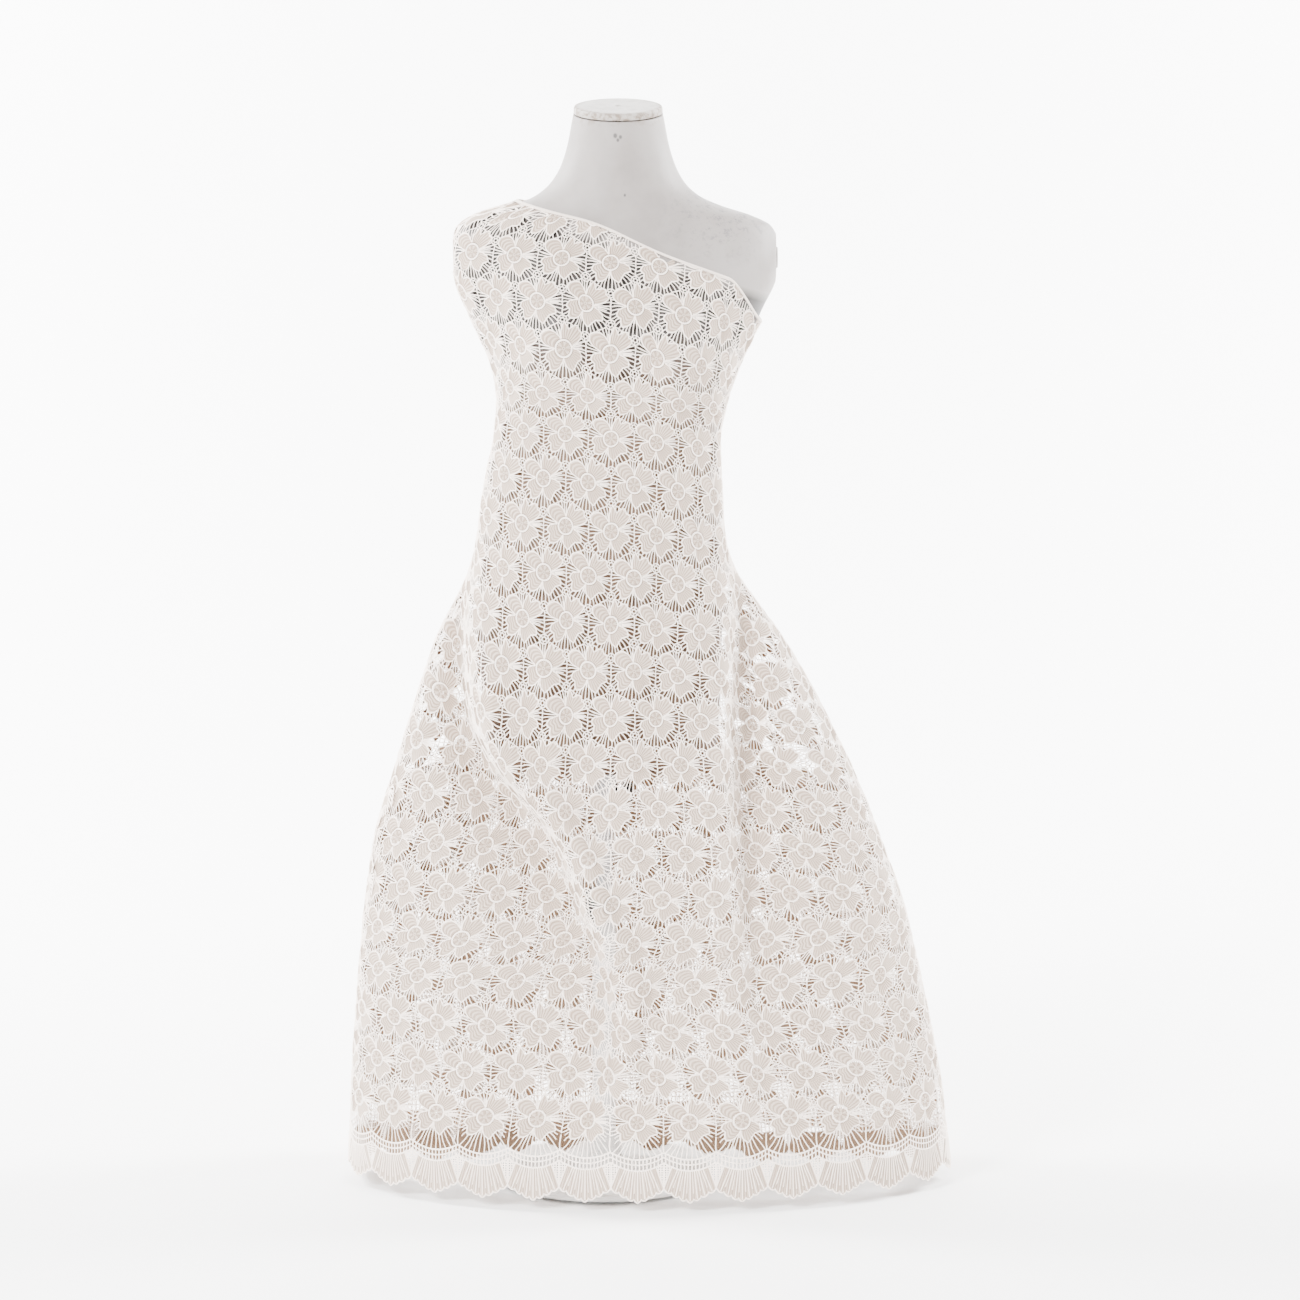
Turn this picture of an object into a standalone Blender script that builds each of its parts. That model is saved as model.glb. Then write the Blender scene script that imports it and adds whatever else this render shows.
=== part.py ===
"""Length of scalloped guipure lace draped one-shouldered on a headless display torso with a telescopic stand."""
import math

import bmesh
import bpy
from mathutils import Matrix, Vector

# ---- driving dimensions, metres -------------------------------------------------------------
GAP = 0.0003                # clearance between pieces that touch
POLE_X, POLE_Y = -0.055, 0.0   # axis of the stand

SHELL_T = 0.004             # wall of the moulded torso
TORSO_BOTTOM = 0.505
NECK_TILT = math.radians(10)   # the neck is cut sloping down to the front
NECK_TILT_FROM = 1.185
STUMP_HALF = 0.1860         # the arm stumps are cut flat this far from the torso's centre line
STUMP_Z = 1.100
BUST = dict(half_gap=0.074, z=0.985, out=0.036, wide=0.040, above=0.062, below=0.038)

# height, centre x, half width, front depth, back depth, squareness
TORSO_STATIONS = [
    (0.505, -0.0580, 0.1350, 0.0950, 0.1000, 2.2),
    (0.560, -0.0580, 0.1395, 0.0960, 0.1080, 2.2),
    (0.620, -0.0580, 0.1420, 0.0960, 0.1140, 2.2),
    (0.680, -0.0580, 0.1430, 0.0960, 0.1120, 2.2),
    (0.740, -0.0580, 0.1420, 0.0960, 0.1010, 2.2),
    (0.800, -0.0570, 0.1390, 0.0930, 0.0860, 2.2),
    (0.850, -0.0540, 0.1340, 0.0880, 0.0770, 2.2),
    (0.895, -0.0500, 0.1280, 0.0860, 0.0750, 2.2),
    (0.935, -0.0440, 0.1310, 0.0900, 0.0790, 2.2),
    (0.975, -0.0400, 0.1400, 0.0960, 0.0850, 2.2),
    (1.010, -0.0390, 0.1560, 0.1000, 0.0900, 2.2),
    (1.045, -0.0390, 0.1720, 0.0980, 0.0920, 2.2),
    (1.075, -0.0390, 0.1860, 0.0920, 0.0900, 2.2),
    (1.100, -0.0390, 0.1900, 0.0830, 0.0850, 2.2),
    (1.122, -0.0390, 0.1880, 0.0730, 0.0790, 2.1),
    (1.138, -0.0390, 0.1800, 0.0650, 0.0740, 2.0),
    (1.150, -0.0390, 0.1570, 0.0600, 0.0700, 2.0),
    (1.161, -0.0385, 0.1220, 0.0570, 0.0660, 2.0),
    (1.173, -0.0380, 0.0950, 0.0550, 0.0620, 2.0),
    (1.188, -0.0375, 0.0780, 0.0530, 0.0580, 2.0),
    (1.208, -0.0370, 0.0665, 0.0510, 0.0550, 2.0),
    (1.232, -0.0370, 0.0590, 0.0500, 0.0530, 2.0),
    (1.255, -0.0370, 0.0545, 0.0495, 0.0515, 2.0),
    (1.268, -0.0370, 0.0520, 0.0490, 0.0510, 2.0),
]

LACE_T = 0.003              # overall thickness of the raised lace
LACE_OFF = 0.0045           # how far it stands off the torso
HEM_Z = 0.013
TOP_EDGE_AT_CENTRE = 1.112  # the top edge falls in a nearly straight line from the covered shoulder
TOP_EDGE_SLOPE = -0.344
EDGE_BOW = (0.009, -0.065, 0.055)       # how far it bows upwards, where, and how widely
EDGE_UNDER_ARM = (0.045, 0.088, 0.140)  # how far it dips under the bare arm, from where to where
TAPE_H = 0.006
HIP_FROM, HIP_TO = 0.80, 0.66   # between these heights the lace leaves the torso
FOLD_DEPTH = 0.006
PINS, PIN_TOP, PIN_STEP = 4, 0.990, 0.055
SCALLOPS, SCALLOP_RISE = 28, 0.014

# folds of the front: height, where the valley runs, its depth, its steep side, its gentle side
LEFT_FOLD = [
    (0.013, -0.1000, 0.000, 0.030, 0.080), (0.127, -0.0900, 0.006, 0.030, 0.080),
    (0.250, -0.0850, 0.014, 0.045, 0.080), (0.350, -0.1100, 0.020, 0.045, 0.070),
    (0.430, -0.1450, 0.022, 0.042, 0.060), (0.515, -0.1850, 0.020, 0.040, 0.050),
    (0.600, -0.2150, 0.016, 0.036, 0.036), (0.700, -0.2200, 0.007, 0.030, 0.030),
    (0.780, -0.2150, 0.000, 0.030, 0.030)]
RIGHT_FOLD = [
    (0.013, 0.1700, 0.000, 0.030, 0.070), (0.127, 0.1600, 0.006, 0.030, 0.070),
    (0.250, 0.1450, 0.014, 0.045, 0.070), (0.350, 0.1320, 0.018, 0.045, 0.060),
    (0.430, 0.1220, 0.020, 0.042, 0.050), (0.515, 0.1150, 0.020, 0.040, 0.040),
    (0.600, 0.1120, 0.016, 0.036, 0.030), (0.700, 0.1110, 0.007, 0.030, 0.030),
    (0.780, 0.1080, 0.000, 0.030, 0.030)]

# height, left reach, right reach, front reach, back reach, squareness of the skirt below the waist
SKIRT_STATIONS = [
    (0.013, -0.3584, 0.3576, 0.1680, 0.1640, 2.0),
    (0.127, -0.3534, 0.3438, 0.1630, 0.1640, 2.0),
    (0.226, -0.3465, 0.3238, 0.1580, 0.1620, 2.0),
    (0.325, -0.3370, 0.3015, 0.1500, 0.1600, 2.0),
    (0.398, -0.3270, 0.2759, 0.1420, 0.1580, 2.0),
    (0.446, -0.3160, 0.2577, 0.1360, 0.1560, 2.0),
    (0.495, -0.3000, 0.2372, 0.1290, 0.1530, 2.0),
    (0.543, -0.2855, 0.2144, 0.1220, 0.1500, 2.0),
    (0.591, -0.2700, 0.1900, 0.1150, 0.1460, 2.05),
    (0.640, -0.2540, 0.1620, 0.1100, 0.1400, 2.1),
    (0.686, -0.2360, 0.1340, 0.1060, 0.1330, 2.15),
    (0.757, -0.2130, 0.1000, 0.1030, 0.1130, 2.2),
]

BASE_R = 0.135
BASE_T = 0.008
PAD_H = 0.004
LOWER_POLE = dict(r=0.0140, bore=0.0124, top=0.345)
UPPER_POLE = dict(r=0.0110, bore=0.0095, low=0.030, top=0.486)
BOARD_T = 0.012
BOARD_Z = TORSO_BOTTOM + 0.004
HEIGHT_RANGE = 0.260


def clean():
    for ob in list(bpy.data.objects):
        bpy.data.objects.remove(ob, do_unlink=True)


def collection(name):
    col = bpy.data.collections.new(name)
    bpy.context.scene.collection.children.link(col)
    return col


def material(name, colour, rough, metal=0.0):
    mat = bpy.data.materials.new(name)
    mat.use_nodes = True
    bsdf = mat.node_tree.nodes["Principled BSDF"]
    bsdf.inputs["Base Color"].default_value = (*colour, 1.0)
    bsdf.inputs["Roughness"].default_value = rough
    bsdf.inputs["Metallic"].default_value = metal
    mat.diffuse_color = (*colour, 1.0)
    return mat


def to_object(bm, name, mat, col, smooth=True):
    bmesh.ops.recalc_face_normals(bm, faces=bm.faces)
    mesh = bpy.data.meshes.new(name)
    bm.to_mesh(mesh)
    bm.free()
    ob = bpy.data.objects.new(name, mesh)
    ob.data.materials.append(mat)
    col.objects.link(ob)
    for poly in mesh.polygons:
        poly.use_smooth = smooth
    return ob


def move_origin(ob, point):
    """Put the origin on the piece's own axis without moving the piece."""
    shift = Vector(point)
    ob.data.transform(Matrix.Translation(-shift))
    ob.location = shift


# ---- smooth interpolation of the station tables ------------------------------------------------
def interpolate(table, z, col):
    """Monotone-safe cubic through the table's rows."""
    rows = table
    if z <= rows[0][0]:
        return rows[0][col]
    if z >= rows[-1][0]:
        return rows[-1][col]
    k = max(i for i in range(len(rows) - 1) if rows[i][0] <= z)
    z0, z1 = rows[k][0], rows[k + 1][0]
    p0, p1 = rows[k][col], rows[k + 1][col]

    def slope(i):
        if i <= 0 or i >= len(rows) - 1:
            j = min(max(i, 0), len(rows) - 2)
            return (rows[j + 1][col] - rows[j][col]) / (rows[j + 1][0] - rows[j][0])
        a = (rows[i][col] - rows[i - 1][col]) / (rows[i][0] - rows[i - 1][0])
        b = (rows[i + 1][col] - rows[i][col]) / (rows[i + 1][0] - rows[i][0])
        if a * b <= 0:
            return 0.0
        return 2 * a * b / (a + b)

    h = z1 - z0
    s = (z - z0) / h
    m0, m1 = slope(k) * h, slope(k + 1) * h
    return ((2 * s**3 - 3 * s**2 + 1) * p0 + (s**3 - 2 * s**2 + s) * m0
            + (-2 * s**3 + 3 * s**2) * p1 + (s**3 - s**2) * m1)


def super_xy(angle, left, right, front, back, square):
    """Plan point of a rounded oval: angle 0 is +X, 90 degrees is the front (-Y)."""
    c, s = math.cos(angle), math.sin(angle)
    px = math.copysign(abs(c) ** (2 / square), c)
    py = math.copysign(abs(s) ** (2 / square), s)
    x = px * (right if px > 0 else left)
    y = -py * (front if py > 0 else back)
    return x, y


def bust(x, z):
    """How far the bust stands forward of the rib cage."""
    out = 0.0
    for side in (-1, 1):
        dx = (x - side * BUST["half_gap"]) / BUST["wide"]
        dz = z - BUST["z"]
        dz = dz / (BUST["above"] if dz > 0 else BUST["below"])
        out += math.exp(-0.5 * (dx * dx + dz * dz))
    return BUST["out"] * out


def torso_point(angle, z, off=0.0, groove=True):
    """Point of the torso's skin, or of a surface standing off it level by level."""
    xc = interpolate(TORSO_STATIONS, z, 1)
    half = interpolate(TORSO_STATIONS, z, 2) + off
    front = interpolate(TORSO_STATIONS, z, 3) + off
    back = interpolate(TORSO_STATIONS, z, 4) + off
    square = interpolate(TORSO_STATIONS, z, 5)
    x, y = super_xy(angle, half, half, front, back, square)
    lim = STUMP_HALF + off
    x = max(-lim, min(lim, x))
    if y < 0:
        y -= bust(x, z) * min(1.0, -y / 0.05)
    elif groove:
        y -= 0.006 * math.exp(-(x / 0.020) ** 2) * min(1.0, y / 0.05)
    tilt = max(0.0, min(1.0, (z - NECK_TILT_FROM) / (1.255 - NECK_TILT_FROM)))
    return Vector((xc + x, y, z + tilt * math.tan(NECK_TILT) * y))


def z_levels(low, high, count):
    return [low + (high - low) * i / (count - 1) for i in range(count)]


def torso_levels():
    """Denser where the shoulders turn over."""
    low = z_levels(TORSO_BOTTOM, 0.90, 11)
    mid = z_levels(0.925, 1.075, 8)
    high = [1.092, 1.108, 1.122, 1.132, 1.140, 1.147, 1.154, 1.161, 1.168, 1.176, 1.188]
    neck = [1.202, 1.218, 1.236, 1.254, 1.268]
    return low + mid + high + neck


# ---- moulded torso -----------------------------------------------------------------------------
def half_shell(name, first, last, count, mat, col):
    """One half of the moulded torso: an open skin between two side seams, given its wall."""
    bm = bmesh.new()
    rows = []
    for z in torso_levels():
        angles = [first + (last - first) * i / (count - 1) for i in range(count)]
        rows.append([bm.verts.new(torso_point(a, z)) for a in angles])
    for low, high in zip(rows, rows[1:]):
        for i in range(count - 1):
            bm.faces.new((low[i], low[i + 1], high[i + 1], high[i]))
    ob = to_object(bm, name, mat, col)
    mod = ob.modifiers.new("wall", "SOLIDIFY")
    mod.thickness = SHELL_T
    mod.offset = -1.0
    mod.use_even_offset = False
    mod.use_rim = True
    return ob


def torso_shells(mat, col):
    seam = math.radians(0.9)
    front = half_shell("torso_front_shell", seam, math.pi - seam, 22, mat, col)
    back = half_shell("torso_back_shell", math.pi + seam, 2 * math.pi - seam, 18, mat, col)
    for ob in (front, back):
        # faces of both halves turn outwards, so the wall grows into the hollow
        mesh = ob.data
        centre = Vector((POLE_X, 0.0, 0.75))
        votes = sum(1 if p.normal.dot(p.center - centre) > 0 else -1 for p in mesh.polygons)
        if votes < 0:
            mesh.flip_normals()
    return front, back


def plate(name, outline, z_low, z_high, mat, col, bevel=0.0):
    """Flat plate with the given outline."""
    bm = bmesh.new()
    low = [bm.verts.new((x, y, z_low)) for x, y in outline]
    high = [bm.verts.new((x, y, z_high)) for x, y in outline]
    bm.faces.new(list(reversed(low)))
    bm.faces.new(high)
    n = len(outline)
    for i in range(n):
        j = (i + 1) % n
        bm.faces.new((low[i], low[j], high[j], high[i]))
    ob = to_object(bm, name, mat, col, smooth=False)
    if bevel:
        mod = ob.modifiers.new("edge", "BEVEL")
        mod.width = bevel
        mod.segments = 2
        mod.limit_method = "ANGLE"
    return ob


def lathe(name, profile, mat, col, steps=32, at=(0, 0, 0), turn=None, bevel=0.0):
    """Round piece from a profile of (radius, height) pairs running top to bottom, closed to a solid."""
    bm = bmesh.new()
    closed_ring = profile[0][0] > 1e-6
    rings = []
    for r, h in profile:
        if r < 1e-6:
            rings.append([bm.verts.new((0, 0, h))])
        else:
            ring = []
            for i in range(steps):
                a = 2 * math.pi * i / steps
                ring.append(bm.verts.new((r * math.cos(a), r * math.sin(a), h)))
            rings.append(ring)
    pairs = list(zip(rings, rings[1:]))
    if closed_ring:
        pairs.append((rings[-1], rings[0]))
    for a, b in pairs:
        for i in range(steps):
            j = (i + 1) % steps
            if len(a) == 1 and len(b) == 1:
                continue
            if len(a) == 1:
                bm.faces.new((a[0], b[j], b[i]))
            elif len(b) == 1:
                bm.faces.new((a[i], a[j], b[0]))
            else:
                bm.faces.new((a[i], a[j], b[j], b[i]))
    if turn is not None:
        bmesh.ops.transform(bm, matrix=turn, verts=bm.verts)
    bmesh.ops.transform(bm, matrix=Matrix.Translation(Vector(at)), verts=bm.verts)
    ob = to_object(bm, name, mat, col)
    if bevel:
        mod = ob.modifiers.new("edge", "BEVEL")
        mod.width = bevel
        mod.segments = 2
        mod.limit_method = "ANGLE"
        mod.angle_limit = math.radians(40)
    return ob


def neck_parts(paint, steel, col):
    """Sloping cap plate let onto the neck opening, and the bolt in its middle."""
    top = TORSO_STATIONS[-1]
    tilt = Matrix.Rotation(NECK_TILT, 4, "X")
    middle = Vector((top[1], -0.001, top[0] + GAP / math.cos(NECK_TILT) + 0.0004))
    stretch = Matrix.Diagonal((1.0, top[3] / top[2] * 1.02, 1.0, 1.0))
    hole = 0.0037
    profile = [(hole, 0.0080), (0.0490, 0.0080), (0.0508, 0.0074), (0.0516, 0.0058),
               (0.0518, 0.0), (hole, 0.0)]
    lathe("neck_cap", profile, paint, col, steps=40, at=middle, turn=tilt @ stretch)
    bolt = [(0.0, 0.0062), (0.0031, 0.0060), (0.0034, 0.0052), (0.0034, -0.0160), (0.0, -0.0160)]
    lathe("neck_cap_bolt", bolt, steel, col, steps=20, at=middle, turn=tilt)
    nut = [(0.0043, -0.0006), (0.0078, -0.0006), (0.0078, -0.0060), (0.0043, -0.0060)]
    lathe("neck_cap_nut", nut, steel, col, steps=6, at=middle, turn=tilt)


def arm_plates(paint, col):
    """Oval plates closing the flat faces of the two arm stumps."""
    xc = interpolate(TORSO_STATIONS, STUMP_Z, 1)
    for name, side in (("arm_plate_left", -1), ("arm_plate_right", 1)):
        turn = Matrix.Rotation(math.radians(90) * side, 4, "Y")
        shape = Matrix.Diagonal((0.62, 0.86, 1.0, 1.0))
        profile = [(0.0, 0.0020), (0.0190, 0.0020), (0.0200, 0.0012), (0.0200, GAP), (0.0, GAP)]
        at = (xc + side * STUMP_HALF, 0.003, STUMP_Z + 0.001)
        lathe(name, profile, paint, col, steps=24, at=at, turn=turn @ shape)


def board_outline(inset, z, count=40):
    pts = []
    for i in range(count):
        a = 2 * math.pi * i / count
        p = torso_point(a, z, -inset)
        pts.append((p.x, p.y))
    return pts


def base_board(wood, col):
    """Board closing the torso's foot."""
    return plate("torso_base_board", board_outline(SHELL_T + 0.0022, BOARD_Z), BOARD_Z,
                 BOARD_Z + BOARD_T, wood, col, bevel=0.0012)


def socket(steel, dark, col):
    """Flanged socket under the board that drops over the pole, with its four screws and thumbscrew."""
    top = BOARD_Z - GAP
    bore = UPPER_POLE["r"] + 0.0003
    profile = [(bore, top), (0.0360, top), (0.0360, top - 0.0035), (0.0185, top - 0.0035),
               (0.0165, top - 0.0065), (0.0165, top - 0.0560), (0.0155, top - 0.0580), (bore, top - 0.0580)]
    sleeve = lathe("socket_flange", profile, steel, col, steps=32, at=(POLE_X, POLE_Y, 0))
    holes = bpy.data.collections.get("cutters")
    for k in range(4):
        a = math.radians(45 + 90 * k)
        at = (POLE_X + 0.0275 * math.cos(a), POLE_Y + 0.0275 * math.sin(a), 0)
        cut = lathe("cut_flange_%d" % k, [(0.0, top + 0.002), (0.0026, top + 0.002),
                                          (0.0026, top - 0.006), (0.0, top - 0.006)],
                    steel, holes, steps=16, at=at)
        subtract(sleeve, cut)
    side = Matrix.Rotation(math.radians(90), 4, "Y")
    knob_z = top - 0.040
    cut = lathe("cut_thumb", [(0.0, 0.030), (0.0033, 0.030), (0.0033, 0.004), (0.0, 0.004)],
                steel, holes, steps=16, at=(POLE_X, POLE_Y, knob_z), turn=side)
    subtract(sleeve, cut)
    for k in range(4):
        a = math.radians(45 + 90 * k)
        at = (POLE_X + 0.0275 * math.cos(a), POLE_Y + 0.0275 * math.sin(a), top - 0.0035)
        head = [(0.0, -0.0003), (0.0046, -0.0003), (0.0046, -0.0016), (0.0030, -0.0027), (0.0, -0.0027)]
        shank = [(0.0, 0.0034), (0.0023, 0.0034), (0.0023, -0.0003)] + head[1:]
        lathe("flange_screw_%d" % (k + 1), shank, steel, col, steps=14, at=at)
    screw = [(0.0, 0.0345), (0.0100, 0.0345), (0.0115, 0.0330), (0.0115, 0.0240), (0.0095, 0.0225),
             (0.0060, 0.0225), (0.0060, 0.0200), (0.0029, 0.0200), (0.0029, 0.0117), (0.0, 0.0117)]
    thumb = lathe("socket_thumbscrew", screw, dark, col, steps=20, at=(POLE_X, POLE_Y, knob_z), turn=side)
    move_origin(thumb, (POLE_X, POLE_Y, knob_z))


def subtract(target, cutter):
    cutter.display_type = "WIRE"
    cutter.hide_render = True
    mod = target.modifiers.new(cutter.name, "BOOLEAN")
    mod.operation = "DIFFERENCE"
    mod.solver = "EXACT"
    mod.object = cutter


def tube(name, r, bore, low, high, mat, col, steps=32):
    profile = [(bore, high), (r - 0.0004, high), (r, high - 0.0006), (r, low + 0.0006),
               (r - 0.0004, low), (bore, low)]
    return lathe(name, profile, mat, col, steps=steps, at=(POLE_X, POLE_Y, 0))


def stand(steel, cream, dark, rubber, nylon, col):
    """Round plate, boss, telescopic pole with its bush, plug, clamp collar and knob."""
    holes = bpy.data.collections.get("cutters")
    plate_low, plate_top = PAD_H, PAD_H + BASE_T
    at = (POLE_X, POLE_Y, 0)
    disc = [(0.0048, plate_top), (BASE_R - 0.004, plate_top), (BASE_R - 0.001, plate_top - 0.0015),
            (BASE_R, plate_top - 0.004), (BASE_R, plate_low + 0.001), (BASE_R - 0.001, plate_low),
            (0.0110, plate_low), (0.0110, plate_low + 0.0042), (0.0048, plate_low + 0.0042)]
    lathe("base_plate", disc, cream, col, steps=48, at=at)
    boss_low = plate_top + GAP
    seat = boss_low + 0.010
    boss = [(LOWER_POLE["r"] + GAP, seat + 0.034), (0.0190, seat + 0.034), (0.0200, seat + 0.032),
            (0.0210, boss_low + 0.012), (0.0300, boss_low + 0.005), (0.0320, boss_low),
            (0.0046, boss_low), (0.0046, seat), (LOWER_POLE["r"] + GAP, seat)]
    lathe("base_boss", boss, cream, col, steps=32, at=at)
    bolt = [(0.0, seat + 0.004), (0.0040, seat + 0.004), (0.0040, plate_low + 0.0030),
            (0.0075, plate_low + 0.0030), (0.0075, plate_low + 0.0002), (0.0, plate_low + 0.0002)]
    lathe("base_bolt", bolt, steel, col, steps=24, at=at)
    washer = [(0.0044, plate_low + 0.0039), (0.0098, plate_low + 0.0039),
              (0.0098, plate_low + 0.0033), (0.0044, plate_low + 0.0033)]
    lathe("base_washer", washer, steel, col, steps=32, at=at)
    for k in range(4):
        a = math.radians(45 + 90 * k)
        spot = (POLE_X + 0.112 * math.cos(a), POLE_Y + 0.112 * math.sin(a), 0)
        pad = [(0.0, PAD_H - 0.0002), (0.0110, PAD_H - 0.0002), (0.0110, 0.0005), (0.0105, 0.0), (0.0, 0.0)]
        lathe("foot_pad_%d" % (k + 1), pad, rubber, col, steps=16, at=spot)

    low_r, low_bore, low_top = LOWER_POLE["r"], LOWER_POLE["bore"], LOWER_POLE["top"]
    outer = tube("pole_lower", low_r, low_bore, seat + 0.0050, low_top, cream, col)
    upper = tube("pole_upper", UPPER_POLE["r"], UPPER_POLE["bore"], UPPER_POLE["low"] + 0.012,
                 UPPER_POLE["top"], steel, col)
    foot_z = UPPER_POLE["low"] + 0.012
    shoe = [(0.0, foot_z - GAP), (low_bore - 0.0003, foot_z - GAP), (low_bore - 0.0003, foot_z - 0.0110),
            (0.0, foot_z - 0.0110)]
    lathe("pole_shoe", shoe, nylon, col, steps=32, at=at)
    plug_z = UPPER_POLE["top"] + GAP
    plug = [(0.0, plug_z + 0.0035), (0.0095, plug_z + 0.0035), (0.0108, plug_z + 0.0020), (0.0108, plug_z),
            (UPPER_POLE["bore"] - GAP, plug_z), (UPPER_POLE["bore"] - GAP, plug_z - 0.014),
            (0.0, plug_z - 0.014)]
    lathe("pole_plug", plug, nylon, col, steps=32, at=at)
    bush = [(UPPER_POLE["r"] + 0.0003, low_top + 0.0025), (low_r, low_top + 0.0025), (low_r, low_top + GAP),
            (low_bore - 0.0002, low_top + GAP), (low_bore - 0.0002, low_top - 0.022),
            (UPPER_POLE["r"] + 0.0003, low_top - 0.022)]
    lathe("guide_bush", bush, nylon, col, steps=32, at=at)

    ring_low, ring_top = low_top - 0.030, low_top + 0.0055
    ring = [(UPPER_POLE["r"] + 0.0006, ring_top), (0.0200, ring_top), (0.0215, ring_top - 0.0015),
            (0.0215, ring_low + 0.0015), (0.0200, ring_low), (low_r + GAP, ring_low),
            (low_r + GAP, low_top + 0.0028), (UPPER_POLE["r"] + 0.0006, low_top + 0.0028)]
    collar = lathe("height_collar", ring, dark, col, steps=32, at=at)
    back = Matrix.Rotation(math.radians(-90), 4, "X")
    knob_z = low_top - 0.013
    for body, name in ((collar, "cut_collar"), (outer, "cut_outer")):
        cut = lathe(name, [(0.0, 0.040), (0.0033, 0.040), (0.0033, 0.006), (0.0, 0.006)],
                    dark, holes, steps=16, at=(POLE_X, POLE_Y, knob_z), turn=back)
        subtract(body, cut)
    bushing = bpy.data.objects["guide_bush"]
    cut = lathe("cut_bush", [(0.0, 0.020), (0.0033, 0.020), (0.0033, 0.006), (0.0, 0.006)],
                dark, holes, steps=16, at=(POLE_X, POLE_Y, knob_z), turn=back)
    subtract(bushing, cut)
    stem = [(0.0, 0.0470), (0.0130, 0.0470), (0.0150, 0.0450), (0.0150, 0.0350), (0.0125, 0.0325),
            (0.0070, 0.0325), (0.0070, 0.0225), (0.0029, 0.0225), (0.0029, 0.0114), (0.0, 0.0114)]
    knob = lathe("collar_knob", stem, dark, col, steps=20, at=(POLE_X, POLE_Y, knob_z), turn=back)
    move_origin(knob, (POLE_X, POLE_Y, knob_z))
    move_origin(upper, (POLE_X, POLE_Y, UPPER_POLE["low"]))


# ---- lace ---------------------------------------------------------------------------------------
def smooth_step(lo, hi, v):
    s = max(0.0, min(1.0, (v - lo) / (hi - lo)))
    return s * s * (3 - 2 * s)


def skirt_point(angle, z):
    left, right, front, back, square = [interpolate(SKIRT_STATIONS, z, c) for c in (1, 2, 3, 4, 5)]
    centre = interpolate(TORSO_STATIONS, z, 1) * smooth_step(0.10, 0.70, z)
    x, y = super_xy(angle, centre - left, right - centre, front, back, square)
    return Vector((centre + x, y, z))


def front_folds(x, z):
    """How far the cloth is drawn back between the front panel and the two side wings."""
    back = 0.0
    for table, inward in ((LEFT_FOLD, 1), (RIGHT_FOLD, -1)):
        at, depth, steep, gentle = [interpolate(table, z, c) for c in (1, 2, 3, 4)]
        side = (x - at) * inward
        wide = steep if side > 0 else gentle
        back += depth * math.exp(-(side / wide) ** 2)
    return back


def drape_point(angle, z):
    """The drape before its stand-off: on the torso down to the hips, an opening bell below."""
    on_torso = torso_point(angle, z, groove=False)
    on_torso.z = z
    if z >= HIP_FROM:
        return on_torso, 1.0
    grip = smooth_step(HIP_TO, HIP_FROM, z)
    p = skirt_point(angle, z).lerp(on_torso, grip)
    if math.sin(angle) > 0:
        p.y += front_folds(p.x, z) * min(1.0, math.sin(angle) / 0.5)
    # soft folds at the back that die away over the hips
    depth = FOLD_DEPTH * (1.0 - smooth_step(0.30, 0.72, z))
    depth *= 1.0 - smooth_step(-0.4, 0.2, math.sin(angle))
    out = Vector((math.cos(angle), -math.sin(angle), 0.0))
    return p + out * depth * math.cos(9 * angle), grip


def lace_point(angle, z, off):
    """Point of the lace's skin, standing off square to the surface."""
    p, grip = drape_point(angle, z)
    step_a, step_z = 0.02, 0.003
    across = drape_point(angle + step_a, z)[0] - drape_point(angle - step_a, z)[0]
    up = drape_point(angle, z + step_z)[0] - drape_point(angle, z - step_z)[0]
    normal = up.cross(across).normalized()
    if normal.dot(Vector((math.cos(angle), -math.sin(angle), 0.0))) < 0:
        normal.negate()
    return p + normal * (LACE_OFF * grip + off)


def hem_angles(count):
    """Angles that divide the hem's length evenly, starting at the right."""
    steps = 2880
    pts = [drape_point(2 * math.pi * i / steps, HEM_Z)[0] for i in range(steps + 1)]
    run = [0.0]
    for a, b in zip(pts, pts[1:]):
        run.append(run[-1] + (b - a).length)
    angles, k = [], 0
    for i in range(count):
        want = run[-1] * (i + 0.5) / count
        while run[k + 1] < want:
            k += 1
        part = (want - run[k]) / (run[k + 1] - run[k])
        angles.append(2 * math.pi * (k + part) / steps)
    return angles


def edge_height(x):
    """Height of the lace's top edge at a place across the torso."""
    bow, bow_at, bow_wide = EDGE_BOW
    dip, dip_from, dip_to = EDGE_UNDER_ARM
    straight = TOP_EDGE_AT_CENTRE + TOP_EDGE_SLOPE * x
    return straight + bow * math.exp(-((x - bow_at) / bow_wide) ** 2) - dip * smooth_step(dip_from, dip_to, x)


def top_edge_z(angle, off):
    """Height at which this line of the drape meets the top edge."""
    lo, hi = 0.95, 1.185
    for _ in range(40):
        mid = 0.5 * (lo + hi)
        p = lace_point(angle, mid, off)
        if p.z < edge_height(p.x):
            lo = mid
        else:
            hi = mid
    return 0.5 * (lo + hi)


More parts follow.
